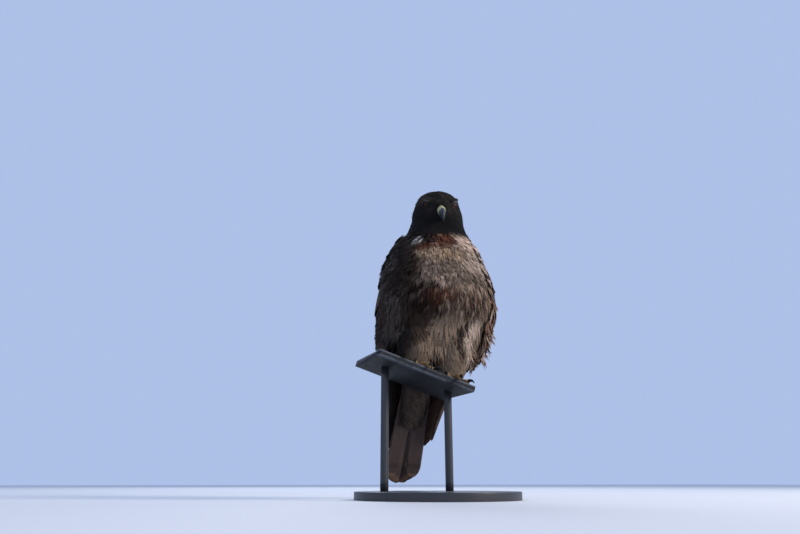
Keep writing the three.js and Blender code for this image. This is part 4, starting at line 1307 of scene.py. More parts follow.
# Loose feathers over the edges of the big ones: the form they lie on, their rows, lengths, heights and
# turns, how far they lift above and below, between which two tints they are drawn, and the seed of their
# random draws. The rows are drawn back at the top by so many degrees, and end below at an edge so many
# millimetres uneven.
mantle = dict(
    over=mantleSections, steps=(4.4, 6.0), size=(16, 4.6), heights=(270, 206), turns=(92, 190), ragged=0.5,
    lift=(0.5, 1.3), tints=("back", "mantle"), unevenEnd=12)
overlays = {
    "shoulderFeathers_right": dict(
        over=hullSections, steps=(3.9, 4.6), size=(15, 3.3), heights=(258, 156), turns=(40, 84), ragged=0.9,
        lift=(0.4, 1.3), tints=("wing", "darkBreast"), edge=0.25, drawnBack=14, seed=21),
    "flankFeathers_right": dict(
        over=hullSections, steps=(4.4, 4.2), size=(27, 3.0), heights=(174, 86), turns=(42, 84), ragged=1.7,
        lift=(1.2, 1.0), tints=("flank", "flankPale"), edge=0.2, darkened=True, seed=18),
    "sideFeathers_left": dict(
        over=sideSections, steps=(4.0, 4.8), size=(17, 3.6), heights=(252, 166), turns=(44, 88), ragged=1.4,
        lift=(0.8, 1.2), tints=("breast", "breast"), edge=0.0, asBody=True, seed=18),
    "edgeCoverts_left": dict(
        over=hullSections, steps=(4.6, 5.0), size=(23, 4.0), heights=(178, 62), turns=(46, 92), ragged=1.1,
        lift=(1.5, 5.5), tints=("wingWarm", "covert"), edge=1.3, drawnBack=26, streak=0.65, spots=0.2,
        seed=17),
    "mantleFeathers_left": dict(mantle, edge=0.7, seed=20),
    "mantleFeathers_right": dict(mantle, edge=0.6, seed=19),
}


# The right flank: the band's dark in front, and shadow below
def darkenedFlank(tint, height, degrees, random):
    ahead = 1 - smooth(46, 60, degrees + random.uniform(-6, 6, len(degrees)))
    tint = paintOver(tint, "band", 0.85 * ahead)
    return paintOver(tint, "shadow", smooth(106, 90, height + random.uniform(-6, 6, len(degrees))))


# Marks of loose feathers: between their two tints, or the body's own, darkened where their table asks for it
def overlayMarks(coat, at, height, degrees, random):
    count = len(at)
    first, second = (shades[tint] for tint in coat["tints"])
    tint = mix(first, second, smooth(0.15, 0.85, random.uniform(0, 1, (count, 1))))
    if coat.get("darkened"):
        tint = darkenedFlank(tint, height, degrees, random)
    if coat.get("asBody"):
        tint = bodyMarks(at - np.array([0, 0, 8]))["tint"]
    spotted = random.uniform(0, 1, count) < coat.get("spots", 0)
    return {
        "tint": paintOver(tint, "paleChest", 0.7 * spotted),
        "streak": np.full(count, coat.get("streak", 0.2)),
        "drop": np.zeros(count),
        "edge": np.clip(coat["edge"] * random.uniform(0.1, 1, count), 0, 1),
        "bar": np.full(count, 0.15),
        "tone": random.uniform(0, 1, count),
    }


def addOverlay(name):
    coat = overlays[name]
    random = np.random.default_rng(coat["seed"])
    (first, last), (top, bottom) = coat["turns"], coat["heights"]

    def over(u, v):
        return formPoint(coat["over"], u, v)

    ends = stationOf(coat["over"], np.array(coat["heights"]))
    u, v = rowsOn(over, ends, np.radians(coat["turns"]), *coat["steps"], random)
    height, degrees = sectionAt(coat["over"], u)[:, 0], np.degrees(v)
    back = coat.get("drawnBack", 0) * smooth(top - 40, top, height)
    kept = degrees > first + back + random.uniform(0, 12, len(u))
    kept &= degrees < last - random.uniform(0, 9, len(u))
    kept &= height > bottom + coat.get("unevenEnd", 0) * random.uniform(0, 1, len(u))
    u, v, height, degrees = u[kept], v[kept], height[kept], degrees[kept]
    length, half = coat["size"]
    size = {
        "length": length * random.uniform(0.75, 1.25, len(u)),
        "half": half * random.uniform(0.8, 1.2, len(u)),
        "lift": mix(*coat["lift"], smooth(top, bottom, height)), "sink": 3.2,
        "widths": [0.5, 1, 0.85, 0.45], "round": 0.3, "ragged": coat["ragged"], "sway": 0.2, "roll": 0.15,
        "camber": 0.16,
    }
    form = vaneForm(6, 6, 0.7)
    marks = overlayMarks(coat, over(u, v), height, degrees, random)
    lie = np.tile([0.1, 0.3, -1.0], (len(u), 1))
    roots = np.clip(np.stack([degrees / 190, (height - 60) / 212], -1), 0, 1)
    grown = growFeathers(framesOn(over, u, v), lie, size, form, random)
    paint = featherPaint(name, 7.0, roughness=0.88, gloss=0.06)
    coatPiece(name, grown, form, roots, marks, paint, mirrored=name.endswith("right"))


def addWing(name, sign):
    random = np.random.default_rng(40 + sign)
    addWingCore(name, sign)
    for tierName, tier in wingTiers.items():
        feathers = [wingFeather(tier, n, name, random) for n in range(tier["count"])]
        title = f"{tierName}_{name}"
        paint = featherPaint(title, 40.0, roughness=0.7, bumpDistance=0.0003, bars=7.0, gloss=0.12)
        marks = wingMarks(tier, name, random)
        bigPiece(title, feathers, marks, paint, mirrored=sign < 0)
    addLesserCoverts(name, sign)


# The tail hangs from the rump, its feathers stacked with the middle pair outermost.
tail = {
    "root": np.array([0.0, 74, 96]), "tip": np.array([-18.0, 150, -123]), "half": 13, "pairs": 6,
    "rootAside": 2, "rootStep": 1.8, "tipAside": 4, "tipStep": 3, "layer": 0.95,
}


# One tail feather: straight down from root to tip, fanned aside by pair, each pair a layer deeper, with the
# whole tail bowed by the square of the distance from its middle
def tailFeather(pair, sign, random):
    down = tail["tip"] - tail["root"]
    out = unit(np.array([0, -down[2], down[1]]))
    layer = (tail["layer"] if sign > 0 else 0) if pair == 0 else -tail["layer"] * pair
    length = 1 - 0.0035 * pair**1.6 - 0.006 * random.uniform(0, 1)

    def place(t, s):
        aside = mix(tail["rootAside"] + tail["rootStep"] * pair, tail["tipAside"] + tail["tipStep"] * pair, t)
        across = np.maximum(aside - sign * s * tail["half"], -tail["half"] if pair == 0 else 0.3)
        shift = np.stack([sign * across, np.zeros_like(t), np.zeros_like(t)], -1)
        at = tail["root"] + mix(0.08, length, t)[..., None] * down + shift
        at = at + out * (layer - 0.0022 * across**2)[..., None]
        return at, np.broadcast_to(out, at.shape)

    return bigFeather(place, 0.7, 0.9, random, notches=4)


# Tail paint: brick red above, dull brown below, darkened in part as painted shade under the body and perch,
# dark shafts and a thin dark band before a pale tip
def tailPaint(name):
    paint = Paint(name, Sheen_Weight=0.1, Specular_IOR_Level=0.3)
    across, down = paint.vane()
    under = paint.value("under")
    red, brown = shades["tailTop"], shades["tailUnder"]
    top = paint.blend(paint.noise(120.0), tuple(red * 0.8), tuple(red * 1.15))
    low = paint.blend(paint.noise(120.0), tuple(brown * 0.85), tuple(brown * 1.1))
    colour = paint.blend(under, top, low)
    wobble = down + 0.012 * paint.noise(160.0)
    band = paint.rise(wobble, 0.885, 0.9) * (1 - paint.rise(wobble, 0.925, 0.94))
    colour = paint.blend(band * (0.85 - 0.45 * under), colour, tuple(shades["tailBand"]))
    colour = paint.blend(paint.rise(wobble, 0.965, 0.985) * 0.8, colour, tuple(shades["tailEnd"]))
    barb = paint.maths("SINE", (down + 0.1 * across) * (70 * tau), 0)
    quill = 1 - paint.rise(across, 0.0, 0.06)
    colour = paint.shade(colour, 0.86 + 0.28 * paint.value("tone") + 0.06 * barb - 0.3 * quill)
    rough = 0.6 + 0.2 * (paint.noise(150.0) - 0.5)
    height = 0.3 * barb + 0.8 * quill
    return paint.finish(Base_Color=colour, Roughness=rough, Normal=paint.bump(height, 0.5, 0.0003))


tailCoverts = np.array([
    [0, 70, 100, 27, 17], [-2, 80, 62, 27, 14], [-6, 94, 20, 25, 9.5], [-9, 107, -18, 19, 4.2],
    [-10.5, 112, -34, 9, 1.2],
], float)
tailCovertRows = {"ends": (0.1, 3.0), "steps": (4.4, 5.4), "ground": 0.8}


def addTailFeathers(random):
    feathers = [tailFeather(pair, sign, random) for pair in range(tail["pairs"]) for _, sign in sides]
    marks = {"tone": random.uniform(0, 1, len(feathers))}
    bigPiece("tailFeathers", feathers, marks, tailPaint("tailFeathers"), ("tail",))


# Soft coverts wrap the tail's root over a smaller ground: dull buff below, darkened in part as painted
# shade, brown above.
def addTailCoverts(random):
    def surface(u, v):
        return tubePoint(tailCoverts, u, v)

    ground = surfaceGrid(surface, (0, 4), 40, 40)
    centre = ground.mean(1, keepdims=True)
    made = closedTube(centre + (ground - centre) * tailCovertRows["ground"])
    values = {"tint": np.tile(shades["flank"], (len(made[0]), 1))}
    solidPiece("tailRoot", made, skinPaint("tailRoot"), (), values)
    u, v = rowsOn(surface, tailCovertRows["ends"], (0, tau), *tailCovertRows["steps"], random)
    frames = framesOn(surface, u, v)
    size = {
        "length": mix(22, 26, u / 4) * random.uniform(0.85, 1.15, len(u)), "half": 4.4, "lift": 0.8,
        "sink": 2.6, "widths": [0.5, 1, 0.85, 0.5], "round": 0.25, "ragged": 1.2, "sway": 0.1, "roll": 0.1,
        "camber": 0.12,
    }
    above = smooth(0.0, 0.5, frames["normal"][:, 1])
    marks = {
        "tint": paintOver(np.tile(shades["vent"], (len(u), 1)), "back", above),
        "streak": np.zeros(len(u)), "drop": np.zeros(len(u)), "edge": 0.35 * above, "bar": 0.15 * (1 - above),
        "tone": random.uniform(0, 1, len(u)),
    }
    form = vaneForm(6, 7, 0.72)
    lie = np.tile(unit(tail["tip"] - tail["root"]), (len(u), 1))
    grown = growFeathers(frames, lie, size, form, random)
    paint = featherPaint("tailCoverts", 7.0, bars=3.0)
    coatPiece("tailCoverts", grown, form, np.stack([v / tau, u / 4], -1), marks, paint)


def addTail():
    random = np.random.default_rng(60)
    addTailFeathers(random)
    addTailCoverts(random)


# Face

# A place round the eye: its middle, plus the radius times (the axis times cos polar, plus the direction at
# turn about the axis times sin polar)
def aroundEye(polar, turn, radius):
    side = np.cross([0, 0, 1], eyeAxis)
    ring = np.cos(turn)[..., None] * side + np.sin(turn)[..., None] * np.array([0, 0, 1.0])
    out = np.cos(polar)[..., None] * eyeAxis + np.sin(polar)[..., None] * ring
    return eye["at"] + radius[..., None] * out


# The iris: brown, with fine rays, a darker rim and the pupil
def eyePaint(name):
    paint = Paint(name, Coat_Weight=0.12, Coat_Roughness=0.02, Roughness=0.4, Specular_IOR_Level=0.04)
    place = paint.value("polar")
    rays = paint.maths("SINE", paint.value("turned") * (tau * 34) + 6 * paint.noise(700.0), 0)
    iris = paint.blend(0.5 + 0.35 * rays, (0.028, 0.012, 0.006), (0.058, 0.025, 0.011))
    iris = paint.blend(paint.rise(place, 0.19, 0.27), iris, (0.012, 0.006, 0.004))
    colour = paint.blend(1 - paint.rise(place, 0.118, 0.130), iris, (0.002, 0.002, 0.002))
    return paint.finish(Base_Color=colour)


# The eyeball: a sphere about its own axis with a slightly raised window; polar runs from 0 in front to 1
# behind.
def addEye(name, sign):
    polar, turn = ballGrid(60, 64, 0.004)
    radius = eye["radius"] * (1 + 0.035 * np.exp(-((polar / 0.55) ** 2)))
    points, quads, fans = onSide(sign, *closedTube(aroundEye(polar, turn, radius)))
    values = {
        "polar": np.concatenate([(polar / np.pi).ravel(), [0, 1]]),
        "turned": np.concatenate([(turn / tau).ravel(), [0, 0]]),
    }
    made = fromHead(points), quads, fans
    solidPiece(f"eyeBall_{name}", made, eyePaint(f"eye_{name}"), (f"eye_{name}",), values)


# Degrees from the eye's axis to the lids' edge at the side, above and below, how many the rim runs on, and
# its height
lids = {"side": 47, "above": 31, "below": 41, "run": 30, "high": 0.85}


# The lids: a rolled rim round the eye's opening. At turn w about the eye's axis the opening lies at an angle
# from the axis that changes evenly between its side, upper and lower values; from there the rim runs
# outwards.
def addLids(name, sign, paint):
    q, w = np.meshgrid(np.linspace(0, 1, 18), np.linspace(0, tau, 72, endpoint=False), indexing="ij")
    vertical = np.where(np.sin(w) > 0, lids["above"], lids["below"])
    opening = 1 / np.sqrt((np.cos(w) / lids["side"]) ** 2 + (np.sin(w) / vertical) ** 2)
    polar = np.radians(opening + lids["run"] * q)
    radius = eye["radius"] * 1.03 + 0.25 + lids["high"] * np.sin(np.pi * np.minimum(q * 1.6, 1)) - 1.6 * q**2
    points = aroundEye(polar, w, radius)
    inner = eye["at"] + (points - eye["at"]) * (1 - 0.9 / radius[..., None])
    grid = np.concatenate([inner[::-1][-3:], points])
    points, quads = onSide(sign, grid.reshape(-1, 3), gridFaces(*grid.shape[:2], True))
    solidPiece(f"eyelids_{name}", (fromHead(points), quads), paint)


# The bill's stations, from its root forward: a point, half the width and half the height
upperBill = np.array([
    [0, -28, 2.5, 7.2, 8.2], [0, -37, 2.2, 6.5, 7.8], [0, -44, 1, 5.5, 7.4], [0, -50.5, -1.8, 4.3, 6.0],
    [0, -55.3, -6, 3.0, 4.0], [0, -58.0, -10.1, 1.7, 2.1], [0, -58.7, -14.2, 0.45, 0.45],
], float)
lowerBill = np.array([
    [0, -26, -7.6, 6.2, 3.8], [0, -36, -8, 5.3, 3.5], [0, -43, -8.6, 3.9, 2.9], [0, -48, -9, 2.2, 1.9],
    [0, -50.2, -9.3, 0.5, 0.5],
], float)
cereEnd = 2.22  # station of the upper bill where the cere stops
cereSlant = 0.3  # and the share by which it stops earlier on the bill's lower side
nostril = {"at": np.array([5.3, -40.5, 4.4]), "reach": np.array([2.6, 1.7, 1.7]), "deep": 1.7, "rim": 0.22}


# The bill's tube with its sides drawn in towards the ridge along its top, so that its section is like a drop:
# across times 1 - 0.3 w^2, where w is the share of the way up from the middle
def billPoint(u, v):
    points = tubePoint(upperBill, u, v)
    top = np.clip(-np.sin(v), 0, 1)
    points[..., 0] *= 1 - 0.3 * top**2
    return points


# The middle line of the upper bill
def billMiddle(u):
    return stationAt(upperBill, u)[..., :3]


# The station of the cere's front edge, which slants back towards the bill's lower side
def cereFront(v):
    return cereEnd * (1 - cereSlant * smooth(-0.5, 0.9, np.sin(v)))


# The horn, drawn in towards its middle where the cere covers it
def hornPoint(u, v):
    middle = billMiddle(u)
    clear = smooth(-0.35, -0.03, u - cereFront(v))
    return middle + (billPoint(u, v) - middle) * mix(0.6, 1, clear)[..., None]


# The cere: the bill's root swollen a little, with a rolled front edge and a nostril sunk in each side
def cerePoint(u, v):
    grown = 1.02 + 0.035 * np.exp(-(((u - cereEnd + 0.12) / 0.16) ** 2))
    u = u * cereFront(v) / cereEnd
    middle = billMiddle(u)
    points = middle + (billPoint(u, v) - middle) * grown[..., None]
    folded = points * np.where(points[..., :1] < 0, [-1, 1, 1], [1, 1, 1])
    away = (folded - nostril["at"]) / nostril["reach"]
    pit = np.exp(-((away**2).sum(-1)) ** 2)
    rim = np.exp(-(((np.linalg.norm(away, axis=-1) - 1.35) / 0.3) ** 2))
    way = unit(points - middle)
    return points - way * (nostril["deep"] * pit - nostril["rim"] * rim)[..., None]


# Horn, light at the root and dark towards the point, between the two given shares of its run
def hornPaint(name, light, dark, blendAt):
    paint = Paint(name, Coat_Weight=0.15, Coat_Roughness=0.15, Specular_IOR_Level=0.3)
    run = paint.value("run")
    streaks = paint.noise(220.0, detail=4.0)
    colour = paint.blend(paint.rise(run + 0.15 * (streaks - 0.5), *blendAt), light, dark)
    colour = paint.shade(colour, 0.8 + 0.4 * streaks)
    rough = 0.28 + 0.25 * paint.noise(500.0)
    return paint.finish(Base_Color=colour, Roughness=rough, Normal=paint.bump(streaks, 0.25, 0.0003))


# Bare skin: two tones in soft patches, fine pores, and a painted shade where its value asks for it, as in the
# nostrils
def barePaint(name, colour, deeper, gloss, nostrilShade=None):
    paint = Paint(name, Subsurface_Weight=0.05, Specular_IOR_Level=gloss)
    soft, pores = paint.noise(180.0), paint.noise(1100.0)
    shade = paint.blend(soft, colour, deeper)
    if nostrilShade:
        shade = paint.blend(paint.value("nostrilShade"), shade, nostrilShade)
    rough = 0.4 + 0.25 * pores
    return paint.finish(Base_Color=shade, Roughness=rough, Normal=paint.bump(pores + 0.5 * soft, 0.4, 0.0004))


# A closed tube of a surface, taken to the hawk's frame, with how far each point lies along it
def tubeMade(surface, ends, rows, columns, frameOf):
    u = np.linspace(*ends, rows)
    grid = surfaceGrid(surface, ends, rows, columns)
    points, quads, fans = closedTube(grid)
    run = np.concatenate([np.repeat((u - ends[0]) / (ends[1] - ends[0]), columns), [0, 1]])
    return (frameOf(points), quads, fans), {"run": run}


# The corners of the mouth: the root beside the bill, then degrees and heights on the face; each with half
# the width and half the height
gape = {
    "root": (4.6, -37, -3.6, 0.9, 0.9),
    "run": ((13, 290.4, 0.7, 0.6), (18, 289.8, 0.6, 0.5), (22, 289.2, 0.3, 0.3)),
    "sunk": 0.965,
}


# A fleshy line from the cere back towards the eye, sunk a little into the face
def gapeTube(sign):
    untwist = turning("z", headTwist)
    x, y, z, wide, high = gape["root"]
    rows = [[*(np.array([x, y, z]) @ turning("x", headPitch).T), wide, high]]
    for degrees, height, wide, high in gape["run"]:
        at = formPoint(bodySections, stationOf(bodySections, height)[None], np.radians([degrees]))[0]
        rows.append([*(gape["sunk"] * (at - headMiddle) @ untwist), wide, high])
    rows = np.array(rows, float)
    rows[:, 0] *= sign
    grid = surfaceGrid(lambda u, v: tubePoint(rows, u, v, (0, 0, 1)), (0, 3), 40, 16)
    points, quads, fans = closedTube(grid)
    return points @ untwist.T + headMiddle, quads, fans


def addCere():
    skin = barePaint("cereSkin", (0.36, 0.37, 0.17), (0.52, 0.52, 0.26), 0.45, nostrilShade=(0.02, 0.018, 0.012))
    cere = tubeMade(cerePoint, (0, cereEnd), 90, 120, fromHead)[0]
    away = (toHalfHead(cere[0]) - nostril["at"]) / (0.85 * nostril["reach"])
    # painted shade in the pit of each nostril
    nostrilShade = np.exp(-((away[:, 1:] ** 2).sum(-1) ** 2))
    solidPiece("cere", cere, skin, ("cere",), {"nostrilShade": nostrilShade})


def addFace():
    rim = barePaint("lidSkin", (0.014, 0.011, 0.009), (0.026, 0.021, 0.017), 0.1)
    mouth = barePaint("mouthSkin", (0.036, 0.030, 0.026), (0.055, 0.046, 0.040), 0.15)
    horn = hornPaint("billHorn", (0.055, 0.066, 0.080), (0.009, 0.010, 0.012), (0.12, 0.5))
    for name, sign in sides:
        addEye(name, sign)
        addLids(name, sign, rim)
    made, values = tubeMade(hornPoint, (1.45, 6), 80, 64, fromHead)
    solidPiece("billUpper", made, horn, ("bill_upper",), values)
    made, values = tubeMade(lambda u, v: tubePoint(lowerBill, u, v), (0, 4), 50, 48, fromHead)
    solidPiece("billLower", made, horn, ("bill_lower",), values)
    addCere()
    solidPiece("mouthCorners", gathered([gapeTube(sign) for _, sign in sides]), mouth)


# Feet: degrees out from straight ahead, length, half thickness at root and end, and the claw's length and
# slants
toes = {
    "inner": (-32, 35, 5.2, 4.3, 24, 36, -47),
    "middle": (-4, 50, 5, 3.9, 21, 12, -84),
    "outer": (23, 40, 4.6, 3.6, 18, 36, -50),
    "rear": (172, 27, 5.4, 4.5, 25, 38, -48),
}
pad = {"reach": np.array([9.5, 11.5, 7.4]), "high": 8}
gap = 0.3  # between the perch and the toes on it, and at both ends of the stand's rods
scutes = {"middle": 18, "others": 13}


# A toe's stations, from the pad out and down to its low end, as thick as the perch below it lets them be
def toeStations(ahead, length, root, end, low):
    heights = np.array([pad["high"], pad["high"] - 0.6, mix(pad["high"], low, 0.6), low])
    share = np.linspace(0, 1, 4)
    thick = mix(root, end, share)
    spine = ahead * (length * share)[:, None]
    return np.column_stack([spine[:, 0], spine[:, 1], heights, thick, np.minimum(thick, heights - gap)])


# A claw is an arc from inside the toe's end: at slant a, radius times (sin first - sin a) ahead and radius
# times (cos a - cos first) up, thinning to a point.
def clawStations(ahead, start, low, length, slantFrom, slantTo):
    first, bend = math.radians(slantFrom), math.radians(slantFrom - slantTo)
    radius = length / bend
    share = np.linspace(0, 1, 6)
    slant = first - bend * share
    run = radius * (math.sin(first) - np.sin(slant))
    rise = radius * (np.cos(slant) - math.cos(first))
    place = ahead * (start + run)[:, None]
    left = 1 - share**1.3
    return np.column_stack([place[:, 0], place[:, 1], low + rise, 0.35 + 2.1 * left, 0.4 + 2.7 * left])


# Each toe's stations, its claw's stations and the level direction across both
def toePaths(sign):
    paths = {}
    for name, (out, length, root, end, clawLength, slantFrom, slantTo) in toes.items():
        heading = math.radians(out) * sign
        ahead = np.array([math.sin(heading), -math.cos(heading), 0])
        low = end + gap + 0.3
        toe = toeStations(ahead, length, root, end, low)
        claw = clawStations(ahead, length - 3, low + 0.6, clawLength, slantFrom, slantTo)
        paths[name] = (toe, claw, (math.cos(heading), math.sin(heading), 0))
    return paths


# A toe: its tube with joints that swell below and scutes that step up along its top, like shingles
def toePoint(stations, level, count):
    def point(u, v):
        middle = stationAt(stations, u)[..., :3]
        outer = tubePoint(stations, u, v, level)
        top = np.clip(-np.sin(v), 0, 1) ** 0.6
        below = np.clip(np.sin(v), 0, 1)
        step = (u * count / 3) % 1
        scute = 0.07 * top * (step**2) * (1 - smooth(0.9, 1, step))
        joint = 0.05 * below * (1 + np.cos(u * tau)) / 2
        return middle + (outer - middle) * (1 + scute - joint)[..., None]

    return point


# Scaly yellow-brown skin, darker between the scales
def footPaint(name):
    paint = Paint(name, Specular_IOR_Level=0.42)
    sockets = {"Vector": paint.place(), "Scale": 850.0}
    cells = paint.node("ShaderNodeTexVoronoi", {}, sockets, output="Distance")
    soft = paint.noise(120.0)
    colour = paint.blend(soft, (0.22, 0.125, 0.045), (0.36, 0.22, 0.085))
    colour = paint.blend(paint.rise(cells, 0.35, 0.75) * 0.55, colour, (0.085, 0.045, 0.022))
    rough = 0.5 + 0.25 * cells
    return paint.finish(Base_Color=colour, Roughness=rough, Normal=paint.bump(1 - cells, 0.6, 0.0005))


# The foot's pad: a ball, stretched each way by its reach
def footPad():
    polar, turn = ballGrid(30, 40, 0.01)
    ball = np.stack([np.sin(polar) * np.cos(turn), np.sin(polar) * np.sin(turn), np.cos(polar)], -1)
    return closedTube(ball * pad["reach"] + np.array([0, 0, pad["high"]]))


# The bare shank: a tube from inside the thigh's end down to the foot's pad
def addShank(name, sign, skin):
    ankle = onFoot([0, 0, pad["high"]], sign)
    end = thighStations(sign)[-1, :3]
    shank = np.array([
        [*(end + np.array([0, 1, 8])), 5.4, 6.4],
        [*((end + ankle) / 2), 5.3, 6.3],
        [*ankle, 6, 7],
    ])
    made, _ = tubeMade(lambda u, v: tubePoint(shank, u, v), (0, 2), 40, 32, lambda points: points)
    solidPiece(f"shankSkin_{name}", made, skin, (f"shank_{name}",))


def addFeet():
    skin = footPaint("footSkin")
    horn = hornPaint("clawHorn", (0.05, 0.047, 0.045), (0.012, 0.012, 0.013), (0.0, 0.35))
    for name, sign in sides:
        def place(points):
            return onFoot(points, sign)

        parts = []
        for toe, (stations, claw, level) in toePaths(sign).items():
            count = scutes.get(toe, scutes["others"])
            made, _ = tubeMade(toePoint(stations, level, count), (0, 3), 110, 32, place)
            parts.append(made)
            made, values = tubeMade(lambda u, v: tubePoint(claw, u, v, level), (0, 5), 44, 20, place)
            solidPiece(f"clawHorn_{name}_{toe}", made, horn, (f"claw_{name}_{toe}",), values)
        points, quads, fans = footPad()
        parts.append((place(points), quads, fans))
        solidPiece(f"footSkin_{name}", gathered(parts), skin, (f"foot_{name}",))
        addShank(name, sign, skin)


# Perch and stand

# The bar's section, as places across and up: a rectangle with quarter-round corners, whose long sides run in
# twelve steps
def barRing():
    thick, corner = perch["thick"], perch["corner"]
    near, far = -perch["ahead"] + corner, perch["width"] - perch["ahead"] - corner
    middles = np.array([[near, corner - thick], [far, corner - thick], [far, -corner], [near, -corner]])
    angle = np.pi + np.arange(4)[:, None] * np.pi / 2 + np.linspace(0, np.pi / 2, 7)
    ring = middles[:, None] + corner * np.stack([np.cos(angle), np.sin(angle)], -1)
    ring = ring.reshape(-1, 2)
    edges = np.linspace(ring, np.roll(ring, -1, 0), 12, endpoint=False, axis=1)
    isLong = np.linalg.norm(edges[:, 0] - edges[:, -1], axis=-1) > 3
    return edges[isLong[:, None] | (np.arange(12) == 0)]


# Dull weathered steel: dark patches, pale streaks, edges worn bright with a painted bluish highlight on them,
# and a little rust where it's roughest
def steelPaint():
    paint = Paint("weatheredSteel", Specular_IOR_Level=0.2)
    patches, fine, streaks = paint.noise(22.0, 5.0), paint.noise(320.0, 4.0), paint.noise(90.0, 4.0)
    colour = paint.blend(paint.rise(patches, 0.35, 0.7), (0.009, 0.0105, 0.0135), (0.020, 0.023, 0.028))
    colour = paint.blend(paint.rise(streaks, 0.58, 0.72) * 0.3, colour, (0.06, 0.066, 0.072))
    # edges worn bright, with a painted highlight along them
    worn = paint.value("edge") * paint.rise(paint.noise(60.0, 5.0), 0.3, 0.55)
    colour = paint.blend(worn * 0.6, colour, (0.17, 0.19, 0.225))
    colour = paint.blend(paint.rise(fine * patches, 0.36, 0.46) * 0.4, colour, (0.06, 0.034, 0.022))
    rough = 0.45 + 0.35 * streaks
    metal = 0.22 - 0.16 * paint.rise(patches, 0.4, 0.7)
    bumps = paint.bump(fine + 0.6 * streaks, 0.35, 0.0005)
    return paint.finish(Base_Color=colour, Roughness=rough, Metallic=metal, Normal=bumps)


# The bar: its section carried along its length, a little lower at the cut ends; the edge value, for wear and
# a painted highlight, falls off with the distance from the three corners that show
def addPerch():
    thick, near, far = perch["thick"], -perch["ahead"], perch["width"] - perch["ahead"]
    ring = barRing()
    x = np.linspace(-perch["right"], perch["left"], 90)
    height = np.ones(len(x))
    height[[0, -1]] -= perch["cut"] / thick
    up = (ring[:, 1] + thick / 2) * height[:, None] - thick / 2
    points, quads, fans = closedTube(np.stack(np.broadcast_arrays(x[:, None], ring[:, 0], up), -1))
    corners = np.array([[near, 0], [far, 0], [near, -thick]])
    fromCorner = np.linalg.norm(points[:, None, 1:] - corners, axis=-1).min(1)
    values = {"edge": np.exp(-((fromCorner / perch["worn"]) ** 2))}
    made = onPerch(points), quads[:, ::-1], fans[:, ::-1]
    solidPiece("perchBar", made, steelPaint(), ("perch_bar",), values)


stand = {
    "radius": 125, "thick": 12, "round": 1.5, "foot": 0.7, "setBack": 25, "rod": 6,
    "rods": {"left": 16, "right": -92},
}


# Dark satin paint with a faint orange skin
def standPaint():
    paint = Paint("standPaint", Specular_IOR_Level=0.45, Coat_Weight=0.1)
    soft, orange = paint.noise(30.0), paint.noise(900.0)
    colour = paint.blend(soft, (0.022, 0.023, 0.026), (0.034, 0.035, 0.038))
    rough, bumps = 0.36 + 0.18 * soft, paint.bump(orange, 0.12, 0.0002)
    return paint.finish(Base_Color=colour, Roughness=rough, Normal=bumps)


# The base's outline, as rows of radius and height, from the middle of its top over the round rim to its
# bottom
def baseProfile():
    radius, thick, corner, foot = stand["radius"], stand["thick"], stand["round"], stand["foot"]
    arc = np.linspace(0, np.pi / 2, 8)
    top = np.stack([np.linspace(1, radius - corner - 1, 14), np.full(14, thick)], -1)
    rim = np.stack([radius - corner + corner * np.sin(arc), thick - corner + corner * np.cos(arc)], -1)
    low = np.stack([radius - foot + foot * np.cos(arc), foot - foot * np.sin(arc)], -1)
    return np.vstack([top, rim, low, [[radius - 4, 0], [1, 0]]])


# A turned shape: rows of radius and height carried round an upright axis
def turned(profile, middle, columns):
    angle = -np.linspace(0, tau, columns, endpoint=False)
    radius, height = profile[::-1, :1], profile[::-1, 1:]
    grid = np.broadcast_arrays(radius * np.cos(angle), radius * np.sin(angle), height)
    return closedTube(np.stack(grid, -1) + np.array(middle))


# A rod: an upright cylinder from just over the base, cut on top to the slope of the perch's underside
def rodTube(x, low):
    under = onPerch([x, perch["width"] / 2 - perch["ahead"], -perch["thick"]])
    slope = perchTurn[:, 2]
    turn = -np.linspace(0, tau, 40, endpoint=False)
    ring = under[:2] + stand["rod"] * np.stack([np.cos(turn), np.sin(turn)], -1)
    top = (dot(slope, under) - gap - ring @ slope[:2]) / slope[2]
    heights = mix(top, low, np.linspace(0, 1, 12)[:, None])
    return closedTube(np.stack(np.broadcast_arrays(*ring.T, heights), -1))


def addStand():
    paint = standPaint()
    ground = -hawkOrigin[2]
    base = turned(baseProfile(), (0, stand["setBack"], ground), 160)
    solidPiece("standBase", base, paint, ("stand_base",))
    for name, x in stand["rods"].items():
        rod = rodTube(x, ground + stand["thick"] + gap)
        solidPiece(f"standRod_{name}", rod, paint, (f"stand_rod_{name}",))


# Camera, floor and light

camera = {"place": (-0.4103, -0.9855, 0.025), "yaw": -19.59, "pitch": 17.68, "lens": 30.40, "sensor": 36}


def addCamera():
    lens = bpy.data.cameras.new("camera")
    lens.lens, lens.sensor_width, lens.clip_start = camera["lens"], camera["sensor"], 0.01
    holder = bpy.data.objects.new("camera", lens)
    holder.location = camera["place"]
    holder.rotation_euler = (math.radians(90 + camera["pitch"]), 0, math.radians(camera["yaw"]))
    bpy.context.scene.collection.objects.link(holder)
    bpy.context.scene.camera = holder


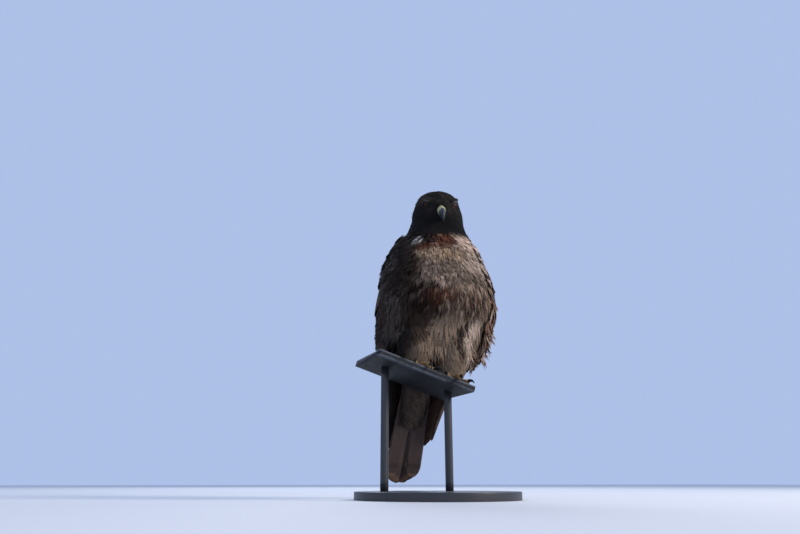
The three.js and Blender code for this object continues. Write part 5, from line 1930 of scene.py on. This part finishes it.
# Lamps, sky and floor, in metres and watts; every lamp looks at the same place
lamps = {
    "key": {"place": (2.1, -1.7, 1.6), "size": 1.0, "power": 82, "colour": (1, 0.91, 0.80)},
    "fill": {"place": (-1.9, -1.5, 1.0), "size": 1.8, "power": 3, "colour": (1, 0.94, 0.88)},
    "rim": {"place": (0.4, 2.2, 1.9), "size": 1.4, "power": 26, "colour": (0.9, 0.95, 1)},
}
lampAim = np.array([0, 0, 0.3])
sky = {"colour": (0.42, 0.53, 0.80), "strength": 1.0}
floor = {"reach": 6.0, "tones": ((0.62, 0.63, 0.65), (0.66, 0.67, 0.69))}


def addFloor():
    mesh = bpy.data.meshes.new("floor")
    reach = floor["reach"]
    corners = [(-reach, -reach, 0), (reach, -reach, 0), (reach, reach, 0), (-reach, reach, 0)]
    mesh.from_pydata(corners, [], [(0, 1, 2, 3)])
    piece = bpy.data.objects.new("floor", mesh)
    bpy.context.scene.collection.objects.link(piece)
    paint = Paint("floorPaint", Roughness=0.8)
    mesh.materials.append(paint.finish(Base_Color=paint.blend(paint.noise(3.0), *floor["tones"])))


# A square lamp that looks at the aim: tipped by the angle from straight down, then swung round to its heading
def addLamp(name, lamp):
    light = bpy.data.lights.new(name, "AREA")
    light.energy, light.size, light.color = lamp["power"], lamp["size"], lamp["colour"]
    holder = bpy.data.objects.new(name, light)
    holder.location = lamp["place"]
    x, y, z = lampAim - np.array(lamp["place"])
    holder.rotation_euler = (math.atan2(math.hypot(x, y), -z), 0, math.atan2(-x, y))
    bpy.context.scene.collection.objects.link(holder)


def addSky():
    world = bpy.data.worlds.new("sky")
    world.use_nodes = True
    ground = world.node_tree.nodes["Background"]
    ground.inputs[0].default_value = (*sky["colour"], 1)
    ground.inputs[1].default_value = sky["strength"]
    bpy.context.scene.world = world
    bpy.context.scene.view_settings.view_transform = "Standard"


addCamera()
addFloor()
for name, lamp in lamps.items():
    addLamp(name, lamp)
addSky()
print("camera, floor and light done")
addSkin()
addHeadCoat()
addBodyCoat()
addThighCoat()
print("body coat done")
for name, sign in sides:
    addWing(name, sign)
for name in overlays:
    addOverlay(name)
addTail()
print("wings and tail done")
addFace()
addFeet()
print("face and feet done")
addPerch()
addStand()
